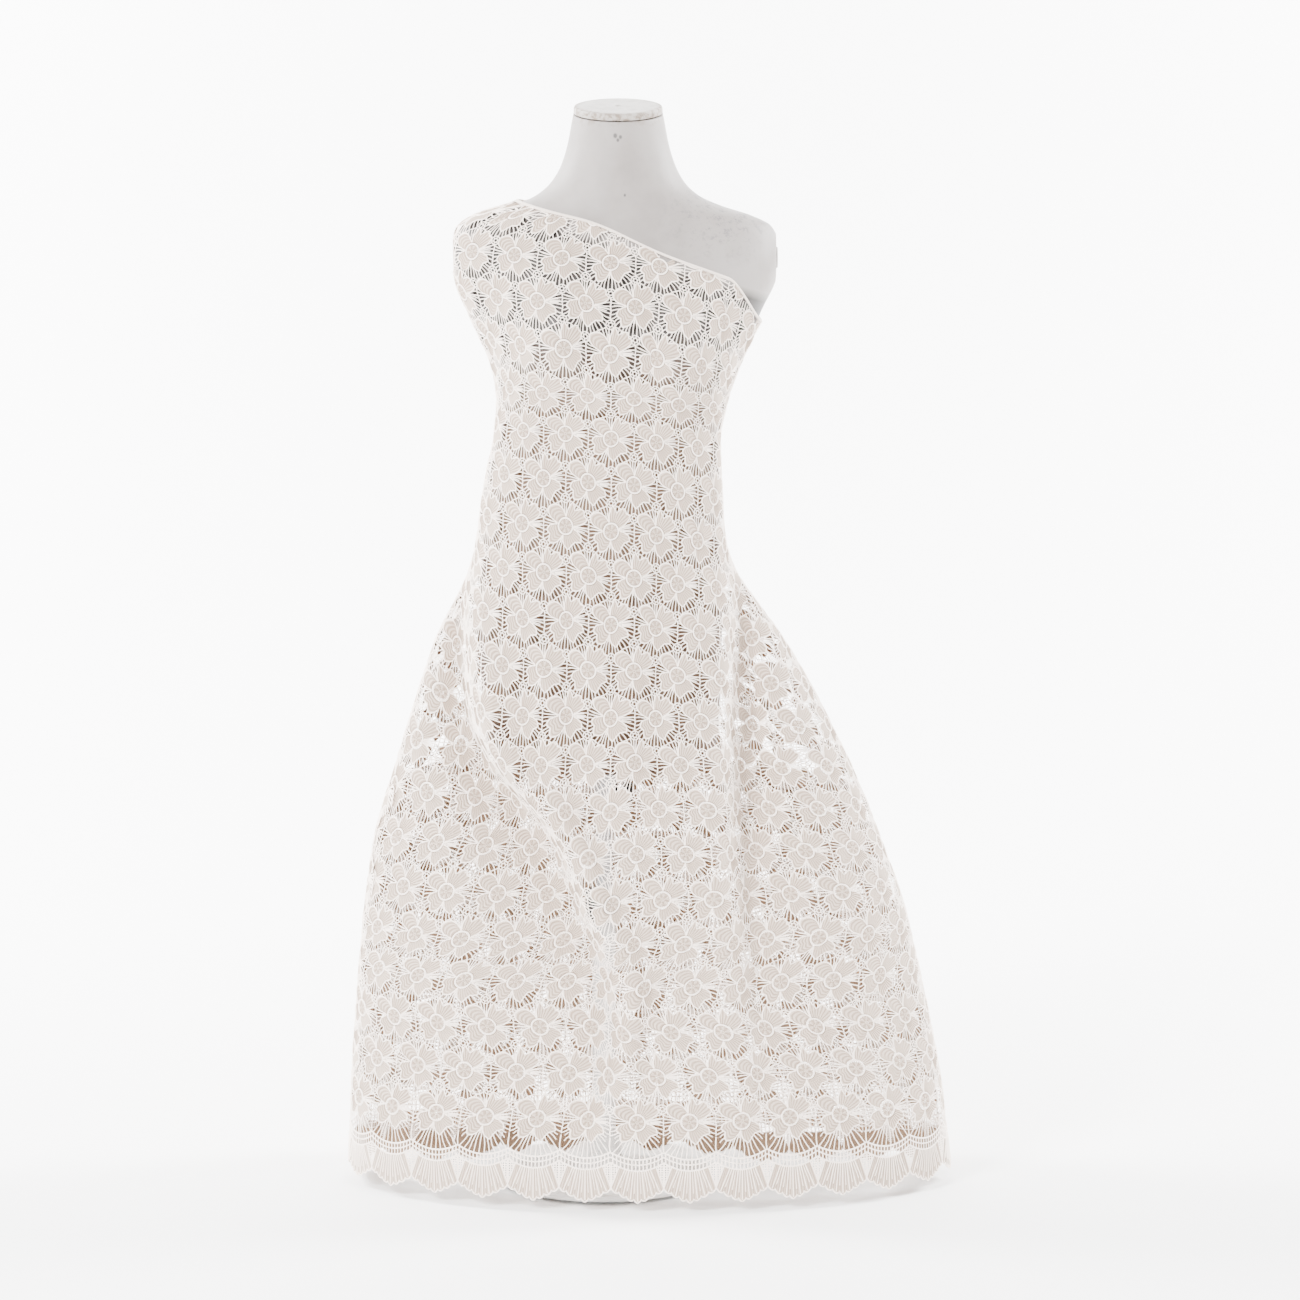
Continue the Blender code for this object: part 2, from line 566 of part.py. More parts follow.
def lace_shell(name, inner, outer, drop_top, drop_bottom, rows, count, mat, col):
    """Closed thin tube between two offsets of the drape, from the top edge down by the given drops."""
    bm = bmesh.new()
    spread = hem_angles(count)
    skins = []
    for off in (outer, inner):
        grid = []
        for i in range(count):
            a = 2 * math.pi * (i + 0.5) / count
            high = top_edge_z(a, 0.0) - drop_top
            tip = HEM_Z + (SCALLOP_RISE if i % 2 else 0.0)
            low = tip if drop_bottom is None else high + drop_top - drop_bottom
            line = []
            for s in rows:
                z = high + (low - high) * s
                even = 1.0 - smooth_step(0.15, 0.75, z)
                line.append(bm.verts.new(lace_point(a + (spread[i] - a) * even, z, off)))
            grid.append(line)
        skins.append(grid)
    outer_skin, inner_skin = skins
    n, m = count, len(rows)
    for i in range(n):
        j = (i + 1) % n
        for k in range(m - 1):
            bm.faces.new((outer_skin[i][k], outer_skin[i][k + 1], outer_skin[j][k + 1], outer_skin[j][k]))
            bm.faces.new((inner_skin[i][k], inner_skin[j][k], inner_skin[j][k + 1], inner_skin[i][k + 1]))
        bm.faces.new((outer_skin[i][0], outer_skin[j][0], inner_skin[j][0], inner_skin[i][0]))
        bm.faces.new((outer_skin[i][-1], inner_skin[i][-1], inner_skin[j][-1], outer_skin[j][-1]))
    return to_object(bm, name, mat, col)


def lace(cream, tape_mat, pin_mat, col):
    rows = [0.0, 0.007, 0.014, 0.022, 0.032, 0.044, 0.058, 0.074, 0.092, 0.114, 0.14, 0.17, 0.20, 0.235,
            0.27, 0.31, 0.36, 0.42, 0.48, 0.55, 0.65, 0.80, 1.0]
    lace_shell("lace_fabric", 0.0, LACE_T, TAPE_H + 2 * GAP, None, rows, 2 * SCALLOPS, cream, col)
    lace_shell("lace_top_edge", 0.0004, LACE_T - 0.0004, 0.0, TAPE_H, [0.0, 0.5, 1.0], 2 * SCALLOPS, tape_mat, col)
    along = Matrix.Rotation(math.radians(90), 4, "Y")
    for k in range(PINS):
        z = PIN_TOP - PIN_STEP * k
        p = lace_point(math.radians(270), z, LACE_T)
        at = (p.x, p.y + 0.0030, z)
        pin = [(0.0, 0.0175), (0.0013, 0.0170), (0.0019, 0.0155), (0.0013, 0.0140), (0.0004, 0.0137),
               (0.0004, -0.0150), (0.0, -0.0180)]
        lathe("pin_%d" % (k + 1), pin, pin_mat, col, steps=8, at=at, turn=along)


def build():
    clean()
    col = collection("lace_on_display_torso")
    cutters = collection("cutters")
    cutters.hide_render = True
    paint = material("worn_white_paint", (0.80, 0.77, 0.75), 0.55)
    plate_paint = material("stump_paint", (0.78, 0.75, 0.74), 0.55)
    wood = material("birch_board", (0.62, 0.47, 0.30), 0.6)
    steel = material("bright_steel", (0.62, 0.62, 0.63), 0.3, 1.0)
    cream_metal = material("cream_enamel", (0.84, 0.82, 0.78), 0.4)
    dark = material("clamp_black", (0.05, 0.05, 0.05), 0.5)
    rubber = material("foot_rubber", (0.06, 0.06, 0.06), 0.8)
    nylon = material("nylon", (0.80, 0.79, 0.76), 0.45)
    thread = material("cream_thread", (0.86, 0.80, 0.72), 0.85)
    tape_mat = material("edge_thread", (0.88, 0.83, 0.77), 0.85)
    pin_mat = material("pin_head", (0.85, 0.84, 0.80), 0.25)
    torso_shells(paint, col)
    neck_parts(paint, steel, col)
    arm_plates(plate_paint, col)
    base_board(wood, col)
    socket(steel, dark, col)
    stand(steel, cream_metal, dark, rubber, nylon, col)
    lace(thread, tape_mat, pin_mat, col)


build()
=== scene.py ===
import math

import bpy
import numpy as np
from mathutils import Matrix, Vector


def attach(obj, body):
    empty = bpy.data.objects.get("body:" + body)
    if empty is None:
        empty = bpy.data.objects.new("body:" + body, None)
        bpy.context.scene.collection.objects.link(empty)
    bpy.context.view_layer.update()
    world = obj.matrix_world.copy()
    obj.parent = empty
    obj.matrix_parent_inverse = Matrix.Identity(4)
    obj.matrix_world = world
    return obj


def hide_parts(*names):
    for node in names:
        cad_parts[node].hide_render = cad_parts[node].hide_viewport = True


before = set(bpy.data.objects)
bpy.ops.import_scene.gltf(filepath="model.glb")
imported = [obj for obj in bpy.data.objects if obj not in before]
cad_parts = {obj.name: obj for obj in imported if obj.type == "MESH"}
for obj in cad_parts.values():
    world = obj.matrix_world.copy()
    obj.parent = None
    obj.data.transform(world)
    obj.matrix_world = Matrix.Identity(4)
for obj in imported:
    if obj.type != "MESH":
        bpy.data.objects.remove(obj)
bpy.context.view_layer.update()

# ---- driving dimensions, metres ---------------------------------------------------------------
TORSO_FOOT, NECK_END = 0.505, 1.268
# height, centre x, half width, front depth, back depth, squareness of the torso
TORSO = np.array([
    (0.505, -0.0580, 0.1350, 0.0950, 0.1000, 2.2), (0.560, -0.0580, 0.1395, 0.0960, 0.1080, 2.2),
    (0.620, -0.0580, 0.1420, 0.0960, 0.1140, 2.2), (0.680, -0.0580, 0.1430, 0.0960, 0.1120, 2.2),
    (0.740, -0.0580, 0.1420, 0.0960, 0.1010, 2.2), (0.800, -0.0570, 0.1390, 0.0930, 0.0860, 2.2),
    (0.850, -0.0540, 0.1340, 0.0880, 0.0770, 2.2), (0.895, -0.0500, 0.1280, 0.0860, 0.0750, 2.2),
    (0.935, -0.0440, 0.1310, 0.0900, 0.0790, 2.2), (0.975, -0.0400, 0.1400, 0.0960, 0.0850, 2.2),
    (1.010, -0.0390, 0.1560, 0.1000, 0.0900, 2.2), (1.045, -0.0390, 0.1720, 0.0980, 0.0920, 2.2),
    (1.075, -0.0390, 0.1860, 0.0920, 0.0900, 2.2), (1.100, -0.0390, 0.1900, 0.0830, 0.0850, 2.2),
    (1.122, -0.0390, 0.1880, 0.0730, 0.0790, 2.1), (1.138, -0.0390, 0.1800, 0.0650, 0.0740, 2.0),
    (1.150, -0.0390, 0.1570, 0.0600, 0.0700, 2.0), (1.161, -0.0385, 0.1220, 0.0570, 0.0660, 2.0),
    (1.173, -0.0380, 0.0950, 0.0550, 0.0620, 2.0), (1.188, -0.0375, 0.0780, 0.0530, 0.0580, 2.0),
    (1.208, -0.0370, 0.0665, 0.0510, 0.0550, 2.0), (1.232, -0.0370, 0.0590, 0.0500, 0.0530, 2.0),
    (1.255, -0.0370, 0.0545, 0.0495, 0.0515, 2.0), (1.268, -0.0370, 0.0520, 0.0490, 0.0510, 2.0)])
BUST_HALF, BUST_Z, BUST_OUT, BUST_WIDE, BUST_ABOVE, BUST_BELOW = 0.074, 0.985, 0.036, 0.040, 0.062, 0.038
STUMP_HALF = 0.1860
NECK_TILT, NECK_FROM, NECK_TO = math.radians(10), 1.185, 1.255

# height, left reach, right reach, front reach, back reach, squareness of the skirt
SKIRT = np.array([
    (0.013, -0.3584, 0.3576, 0.1680, 0.1640, 2.0), (0.127, -0.3534, 0.3438, 0.1630, 0.1640, 2.0),
    (0.226, -0.3465, 0.3238, 0.1580, 0.1620, 2.0), (0.325, -0.3370, 0.3015, 0.1500, 0.1600, 2.0),
    (0.398, -0.3270, 0.2759, 0.1420, 0.1580, 2.0), (0.446, -0.3160, 0.2577, 0.1360, 0.1560, 2.0),
    (0.495, -0.3000, 0.2372, 0.1290, 0.1530, 2.0), (0.543, -0.2855, 0.2144, 0.1220, 0.1500, 2.0),
    (0.591, -0.2700, 0.1900, 0.1150, 0.1460, 2.05), (0.640, -0.2540, 0.1620, 0.1100, 0.1400, 2.1),
    (0.686, -0.2360, 0.1340, 0.1060, 0.1330, 2.15), (0.757, -0.2130, 0.1000, 0.1030, 0.1130, 2.2)])
# height, place, depth, width on the panel's side, width on the wing's side, of the two front folds
LEFT_FOLD = np.array([
    (0.013, -0.0600, 0.000, 0.030, 0.120), (0.090, -0.0750, 0.010, 0.022, 0.120),
    (0.170, -0.0650, 0.024, 0.018, 0.110), (0.250, -0.0530, 0.036, 0.016, 0.100),
    (0.350, -0.0900, 0.048, 0.016, 0.090), (0.430, -0.1180, 0.056, 0.016, 0.080),
    (0.480, -0.1600, 0.060, 0.016, 0.070), (0.520, -0.1950, 0.060, 0.015, 0.055),
    (0.580, -0.2180, 0.056, 0.013, 0.035), (0.680, -0.2200, 0.040, 0.012, 0.024),
    (0.760, -0.2160, 0.000, 0.012, 0.020)])
RIGHT_FOLD = np.array([
    (0.013, 0.1500, 0.000, 0.030, 0.100), (0.090, 0.1400, 0.008, 0.026, 0.100),
    (0.250, 0.1250, 0.024, 0.020, 0.080), (0.350, 0.1150, 0.036, 0.018, 0.070),
    (0.430, 0.1080, 0.046, 0.017, 0.060), (0.520, 0.1030, 0.052, 0.015, 0.050),
    (0.600, 0.1020, 0.050, 0.013, 0.034), (0.690, 0.1010, 0.034, 0.012, 0.024),
    (0.760, 0.0990, 0.000, 0.012, 0.020)])
# soft ridges of the front panel:
# x at the top, x at the foot, height of the middle, half length, how proud, width
RIDGES = [(-0.128, -0.100, 0.56, 0.15, 0.009, 0.016), (-0.020, -0.034, 0.55, 0.20, 0.008, 0.018),
          (0.045, 0.030, 0.62, 0.12, 0.005, 0.016), (-0.075, -0.060, 0.66, 0.14, 0.005, 0.016),
          (-0.230, -0.200, 0.30, 0.20, 0.006, 0.030), (0.230, 0.255, 0.28, 0.20, 0.006, 0.030)]
HIP_FROM, HIP_TO = 0.80, 0.66    # the cloth comes off the torso between these heights
HEM_Z = 0.013
CLOTH_END = 1.190                # the drape is worked out up to here, then cut along its top edge
EDGE_AT_CENTRE, EDGE_SLOPE = 1.112, -0.344
EDGE_BOW, EDGE_BOW_AT, EDGE_BOW_WIDE = 0.009, -0.065, 0.055
EDGE_DIP, EDGE_DIP_FROM, EDGE_DIP_TO = 0.045, 0.088, 0.140
ROW_TILT = 0.130             # the rows of flowers fall towards the bare shoulder
FREEZE_Z = 1.085             # above this the columns of flowers run straight over the shoulder
STAND_OFF = 0.0034           # from the drape's surface to the back of the threads
GRAIN_X = -0.045             # the lace's middle thread hangs here
GATHERS = 4                  # folds on each half of the back
GATHER_FROM = math.radians(203)
BACK_SOFT, BACK_PRESS = 0.150, 0.4   # behind this depth the folds lose this share of their depth

SCALLOPS = 28
PANELS = 7                   # strips of whole scallops, for the model only
ROW_STEP = 0.054             # between rows of flowers
FIRST_ROW = 0.095            # middle of the first row above the hem
COLUMNS, RISE = 1176, 0.003  # fineness of the drape, around and up

BAR, LAP_BAR = 1.1, 2.3      # width of the ground's bars in the outer cloth and in the second turn, mm
# the cloth's second turn hangs inside the skirt, well forward of the back layer
LAP_TOP = 0.485              # its height on the cloth
LAP_SHIFT = -0.006           # its rows sit this much lower on the cloth
LAP_INSET = 0.009            # how far inside the outer cloth it hangs at its top
LAP_FORWARD, LAP_FORWARD_SIDE = 0.62, 0.25   # share of its depth given up at the hem, and more at the sides
LAP_AHEAD = 0.35             # share of the skirt's depth it comes forward at the sides
LAP_NARROW = 0.03            # share of its width given up at the hem
LAP_RISE, LAP_RISE_MIDDLE = 0.014, 0.3       # how much higher its hem hangs; share of that at the middle
STAND_X, LAP_SIDE_FROM, LAP_SIDE_TO = 0.055, 0.09, 0.20
SKIRT_DEPTH, SKIRT_HALF = 0.164, 0.36


# ---- shape of the torso and of the drape ----------------------------------------------------------
def follow(rows, z, col):
    """Monotone cubic through one column of a station table."""
    x, y = rows[:, 0], rows[:, col]
    d = np.diff(y) / np.diff(x)
    m = np.empty_like(y)
    m[0], m[-1] = d[0], d[-1]
    both = d[:-1] * d[1:]
    total = np.where(np.abs(d[:-1] + d[1:]) < 1e-9, 1.0, d[:-1] + d[1:])
    m[1:-1] = np.where(both > 0, 2 * both / total, 0.0)
    z = np.clip(z, x[0], x[-1])
    k = np.clip(np.searchsorted(x, z, side="right") - 1, 0, len(x) - 2)
    h = x[k + 1] - x[k]
    s = (z - x[k]) / h
    return ((2 * s**3 - 3 * s**2 + 1) * y[k] + (s**3 - 2 * s**2 + s) * h * m[k]
            + (3 * s**2 - 2 * s**3) * y[k + 1] + (s**3 - s**2) * h * m[k + 1])


def step(lo, hi, v):
    s = np.clip((v - lo) / (hi - lo), 0.0, 1.0)
    return s * s * (3 - 2 * s)


def edge_height(x):
    """Height of the lace's top edge at a place across the torso."""
    bow = EDGE_BOW * np.exp(-(((x - EDGE_BOW_AT) / EDGE_BOW_WIDE) ** 2))
    return EDGE_AT_CENTRE + EDGE_SLOPE * x + bow - EDGE_DIP * step(EDGE_DIP_FROM, EDGE_DIP_TO, x)


def ease(z):
    """Share of extra cloth taken up in small puckers across the front at a height."""
    return 0.17 * step(0.30, 0.66, z) - 0.08 * step(0.93, 1.03, z)


def oval(a, left, right, front, back, square):
    c, s = np.cos(a), np.sin(a)
    px = np.sign(c) * np.abs(c) ** (2 / square)
    py = np.sign(s) * np.abs(s) ** (2 / square)
    return px * np.where(px > 0, right, left), -py * np.where(py > 0, front, back)


def torso_at(a, z, bare=True):
    """Skin of the torso by angle and height."""
    xc, half, front, back, square = [follow(TORSO, z, c) for c in (1, 2, 3, 4, 5)]
    x, y = oval(a, half, half, front, back, square)
    x = np.clip(x, -STUMP_HALF, STUMP_HALF)
    out = 0.0
    for side in (-1, 1):
        dz = z - BUST_Z
        dz = dz / np.where(dz > 0, BUST_ABOVE, BUST_BELOW)
        out = out + np.exp(-0.5 * (((x - side * BUST_HALF) / BUST_WIDE) ** 2 + dz**2))
    bulge = BUST_OUT * out * np.clip(-y / 0.05, 0, 1)
    if not bare:
        # cloth bridges the hollow between the breasts and leaves the body gently below them
        bridge = BUST_OUT * np.exp(-0.5 * (x / 0.052) ** 4) * np.exp(-0.5 * dz**2)
        below = np.exp(-0.5 * (np.clip(BUST_Z - z, 0, None) / 0.060) ** 2)
        soft = BUST_OUT * out ** 0.6 * below * (z < BUST_Z)
        bulge = np.maximum(bulge, 0.85 * bridge * np.clip(-y / 0.05, 0, 1))
        bulge = np.maximum(bulge, 0.9 * soft * np.clip(-y / 0.05, 0, 1))
    groove = 0.006 * np.exp(-((x / 0.020) ** 2)) * np.clip(y / 0.05, 0, 1) if bare else 0.0
    y = y - bulge - groove
    tilt = np.clip((z - NECK_FROM) / (NECK_TO - NECK_FROM), 0, 1) if bare else 0.0
    return xc + x, y, z + tilt * math.tan(NECK_TILT) * y


def folds(x, z):
    """How far back the cloth is drawn between the front panel and the wings, less the soft ridges."""
    back = 0.0
    for rows, inward, roll in ((LEFT_FOLD, 1, 0.016), (RIGHT_FOLD, -1, 0.007)):
        at, deep, panel, wing = [follow(rows, z, c) for c in (1, 2, 3, 4)]
        side = (x - at) * inward
        back = back + deep * np.exp(-((side / np.where(side > 0, panel, wing)) ** 2))
        held = step(0.06, 0.20, z) * (1 - step(0.52, 0.68, z))
        back = back - roll * held * np.exp(-(((side - 0.034) / 0.015) ** 2))
    for top, foot, mid, half, proud, wide in RIDGES:
        along = (z - mid) / half
        at = foot + (top - foot) * (along * 0.5 + 0.5)
        back = back - proud * np.exp(-(((x - at) / wide) ** 2) - along**2)
    return back


def drape_at(a, z):
    """The cloth before its gathers: on the torso down to the hips, a bell below."""
    xt, yt, _ = torso_at(a, z, bare=False)
    left, right, front, back, square = [follow(SKIRT, z, c) for c in (1, 2, 3, 4, 5)]
    centre = follow(TORSO, z, 1) * step(0.10, 0.70, z)
    xs, ys = oval(a, centre - left, right - centre, front, back, square)
    grip = step(HIP_TO, HIP_FROM, z)
    x = centre + xs + (xt - centre - xs) * grip
    y = ys + (yt - ys) * grip
    ahead = np.clip(np.sin(a) / 0.35, 0, 1)
    moved = y + folds(x, z) * ahead * (1 - step(0.74, 0.80, z))
    # never through the torso's front
    xc, half, deep, _, sq = [follow(TORSO, np.maximum(z, TORSO_FOOT), c) for c in (1, 2, 3, 4, 5)]
    inside = np.clip(np.abs(x - xc) / (half + 0.004), 0, 1)
    skin = -(deep + 0.002) * (1 - inside**sq) ** (1 / sq)
    held = np.where((inside < 1) & (z > 0.495) & (y < 0), np.minimum(moved, skin), moved)
    return x, np.where(y < 0, held, moved), z


def arc(x, y):
    return np.concatenate([[0.0], np.cumsum(np.hypot(np.diff(x), np.diff(y)))])


def half_level(z, way, need):
    """One half of the cloth's plan curve at a height, from the middle thread to the back's middle.

    way is +1 for the wearer's half at -X. The gathers are made just deep enough for the length needed.
    """
    back_mid = 1.5 * math.pi if way > 0 else -0.5 * math.pi
    a = np.linspace(0.5 * math.pi - way * 1.2, back_mid, 2400)
    x, y, _ = drape_at(a, np.full_like(a, z))
    order = np.searchsorted(-way * x[:1400], -way * GRAIN_X)
    a, x, y = a[order:], x[order:], y[order:]
    s = arc(x, y)
    turned = a if way > 0 else math.pi - a
    zone = turned >= GATHER_FROM
    start = s[np.argmax(zone)]
    extra = float(ease(np.float64(z)))
    f = np.clip((s - start) / (s[-1] - start), 0, 1)
    wave = step(0.0, 0.10, f) * (0.5 - 0.5 * np.cos(2 * math.pi * GATHERS * f))
    lean = -way * 0.10 * np.sin(2 * math.pi * GATHERS * f) * step(0.0, 0.10, f)
    low, high = 0.0, 0.16
    for _ in range(26):
        mid = 0.5 * (low + high)
        if arc(x + lean * mid, y + wave * mid)[-1] < need - extra * start:
            low = mid
        else:
            high = mid
    x, y = x + lean * low, y + wave * low
    s = arc(x, y)
    front = start * (1 + extra)
    u = np.where(s < start, s * (1 + extra), front + (s - start) * (need - front) / (s[-1] - start))
    return a, u, x, y, wave * low


def smooth_rows(grid, times):
    """Evens out small steps from level to level, keeping the first and last level."""
    for _ in range(times):
        grid[1:-1] = 0.25 * grid[:-2] + 0.5 * grid[1:-1] + 0.25 * grid[2:]
    return grid


class Drape:
    """The lace's surface as a map from flat cloth (u across, v up from the hem) to space."""

    def __init__(self, columns, rise):
        self.columns, self.rise = columns, rise
        self.width = 0.0
        for way in (1, -1):
            a = np.linspace(0.5 * math.pi, 1.5 * math.pi if way > 0 else -0.5 * math.pi, 4000)
            x, y, _ = drape_at(a, np.full_like(a, HEM_Z))
            self.width += arc(x, y)[-1]
        need = self.width / 2
        self.u = (np.arange(columns) / columns - 0.5) * self.width
        below, above = 190, 64
        levels = np.concatenate([np.linspace(HEM_Z, FREEZE_Z, below),
                                 np.linspace(FREEZE_Z, CLOTH_END, above)[1:]])
        grid = np.empty((len(levels), columns, 3))
        for j, z in enumerate(levels):
            if z <= FREEZE_Z:
                left, right = [half_level(z, way, need) for way in (1, -1)]
                cut = len(left[0])
                u_all = np.concatenate([-left[1][::-1], right[1][1:]])
                a_all, x_all, y_all, lift = [np.concatenate([left[c][::-1], right[c][1:]])
                                             for c in (0, 2, 3, 4)]
                grid[j, :, 0] = np.interp(self.u, u_all, x_all)
                grid[j, :, 1] = np.interp(self.u, u_all, y_all)
            else:
                a_left = np.interp(self.u, u_all[:cut], a_all[:cut])
                a_right = np.interp(self.u, u_all[cut:], a_all[cut:])
                a = np.where(self.u < 0, a_left, a_right)
                x, y, _ = torso_at(a, np.full_like(a, z), bare=False)
                grid[j, :, 0], grid[j, :, 1] = x, y + np.interp(self.u, u_all, lift)
            grid[j, :, 2] = z
        grid[:below, :, :2] = smooth_rows(grid[:below, :, :2].copy(), 12)
        run = np.zeros(grid.shape[:2])
        run[1:] = np.cumsum(np.linalg.norm(np.diff(grid, axis=0), axis=2), axis=0)
        middle = run[:, columns // 2:columns // 2 + 1]
        even = 1 - 0.6 * step(0.10, 0.70, levels)[:, None]
        run = middle + (run - middle) * even
        slope = grid[:, :, 2] - edge_height(grid[:, :, 0])
        self.top = np.empty(columns)
        self.v = np.arange(0.0, run.max(), rise)
        self.grid = np.empty((len(self.v), columns, 3))
        for i in range(columns):
            k = np.argmax(slope[:, i] > 0)
            part = -slope[k - 1, i] / (slope[k, i] - slope[k - 1, i])
            self.top[i] = run[k - 1, i] + part * (run[k, i] - run[k - 1, i])
            for c in range(3):
                self.grid[:, i, c] = np.interp(self.v, run[:, i], grid[:, i, c])
        across = np.roll(self.grid, -1, axis=1) - np.roll(self.grid, 1, axis=1)
        up = np.gradient(self.grid, axis=0)
        normal = np.cross(across, up)
        normal /= np.linalg.norm(normal, axis=2, keepdims=True) + 1e-12
        for _ in range(2):
            normal = (normal + np.roll(normal, 1, axis=1) + np.roll(normal, -1, axis=1)) / 3
        self.normal = normal

    def top_at(self, u):
        p = (u / self.width + 0.5) * self.columns
        return np.interp(p % self.columns, np.arange(self.columns + 1), np.append(self.top, self.top[0]))

    def tilt(self, u, v):
        """How far the rows hang below level at a place on the cloth."""
        lean = ROW_TILT * self.width / (2 * math.pi) * np.sin(2 * math.pi * u / self.width)
        return lean * step(0.30, 0.80, v)

    def place(self, u, v, n):
        """Points in space of flat points, n being the height above the cloth's back."""
        p = ((u / self.width + 0.5) * self.columns) % self.columns
        i = np.floor(p).astype(int) % self.columns
        k = (i + 1) % self.columns
        fu = (p - np.floor(p))[:, None]
        q = np.clip(v / self.rise, 0, len(self.v) - 1.001)
        j = np.floor(q).astype(int)
        fv = (q - j)[:, None]

        def mix(g):
            low = g[j, i] * (1 - fu) + g[j, k] * fu
            high = g[j + 1, i] * (1 - fu) + g[j + 1, k] * fu
            return low * (1 - fv) + high * fv

        normal = mix(self.normal)
        normal /= np.linalg.norm(normal, axis=1, keepdims=True)
        below = np.clip(v, None, 0)[:, None] * np.array([0, 0, 1.0])
        points = mix(self.grid) + below + normal * (STAND_OFF + n)[:, None]
        points[:, 1] -= BACK_PRESS * np.clip(points[:, 1] - BACK_SOFT, 0, None)
        return points


# ---- flat lace motifs, in millimetres ---------------------------------------------------------------
# Gap faces are painted darker than rib faces of the same thread, as shade between the ribs.
CORD, RIB, SHADED_GAP, BACK = 0, 1, 2, 3


class Flat:
    """Collects flat pieces of lace: points (x, y, height), four-cornered faces, and which thread each is."""

    def __init__(self):
        self.points, self.faces, self.kinds, self.count = [], [], [], 0

    def add(self, points, faces, kinds):
        self.points.append(np.asarray(points, float))
        self.faces.append(np.asarray(faces, int) + self.count)
        self.kinds.append(np.broadcast_to(kinds, len(faces)))
        self.count += len(points)

    def done(self):
        return np.concatenate(self.points), np.concatenate(self.faces), np.concatenate(self.kinds)

    def cord(self, line, wide, high, base=0.0, closed=False, kind=CORD):
        """Raised cord along a line, with a ridged top."""
        line = np.asarray(line, float)
        n = len(line)
        if closed:
            ahead, behind = np.roll(line, -1, axis=0), np.roll(line, 1, axis=0)
        else:
            ahead = np.vstack([line[1:], line[-1:]])
            behind = np.vstack([line[:1], line[:-1]])
        way = ahead - behind
        way /= np.linalg.norm(way, axis=1, keepdims=True) + 1e-9
        side = np.stack([-way[:, 1], way[:, 0]], axis=1) * wide / 2
        zero = np.full((n, 1), base)
        top = np.full((n, 1), base + high)
        rows = np.stack([np.hstack([line + side, zero]), np.hstack([line, top]),
                         np.hstack([line - side, zero])], axis=1)
        faces = []
        for i in range(n if closed else n - 1):
            a, b = 3 * i, 3 * ((i + 1) % n)
            faces += [(a, a + 1, b + 1, b), (a + 1, a + 2, b + 2, b + 1)]
        self.add(rows.reshape(-1, 3), faces, kind)

    def field(self, grid, kinds):
        """Sheet over a grid of points (rows, columns, 3)."""
        r, c = grid.shape[:2]
        ids = np.arange(r * c).reshape(r, c)
        faces = np.stack([ids[:-1, :-1], ids[:-1, 1:], ids[1:, 1:], ids[1:, :-1]], axis=-1).reshape(-1, 4)
        self.add(grid.reshape(-1, 3), faces, np.asarray(kinds).ravel())


def polar(r, deg):
    t = np.radians(deg)
    return np.stack([r * np.cos(t), r * np.sin(t)], axis=-1)


# outline of each petal as (direction in degrees, reach), and whether its ribs run outwards
PETALS = [
    ([(99, 12.5), (108, 19.0), (119, 26.0), (130, 29.0), (142, 31.0), (153, 29.0), (161, 22.5),
      (168, 13.0)], False),
    ([(12, 13.5), (19, 22.0), (28, 31.0), (38, 28.0), (48, 31.5), (57, 28.0), (64, 21.5), (72, 26.0),
      (80, 29.5), (87, 22.5), (93, 13.0)], True),
    ([(-97, 13.0), (-89, 20.5), (-75, 27.0), (-61, 23.0), (-46, 21.5), (-30, 26.5), (-17, 22.0),
      (-8, 13.0)], True),
    ([(178, 13.0), (187, 21.0), (199, 25.5), (213, 23.0), (229, 29.5), (241, 25.0), (249, 19.5),
      (257, 12.5)], False)]
TURNS = (0.0, -9.0, 7.0)     # how far the flowers of a row are turned, one after another
PETAL_FOOT = 11.2            # where the petals start, from the flower's middle
REVERSE = -0.5               # height of the reverse side of the solid areas
RING = 9.5                   # radius of the ring round the flower's disc
HEX_W, HEX_H = 30.1, 27.0    # half steps between flowers: across, and between rows
CELL_DROP = 3.0              # the flower sits this far above the middle of its cell


def petal_radius(deg):
    """Outer reach of the flower in a direction, or None between petals."""
    for shape, _ in PETALS:
        first, last = shape[0][0], shape[-1][0]
        off = (deg - first) % 360
        if off <= last - first:
            return float(np.interp(first + off, [p[0] for p in shape], [p[1] for p in shape]))
    return None


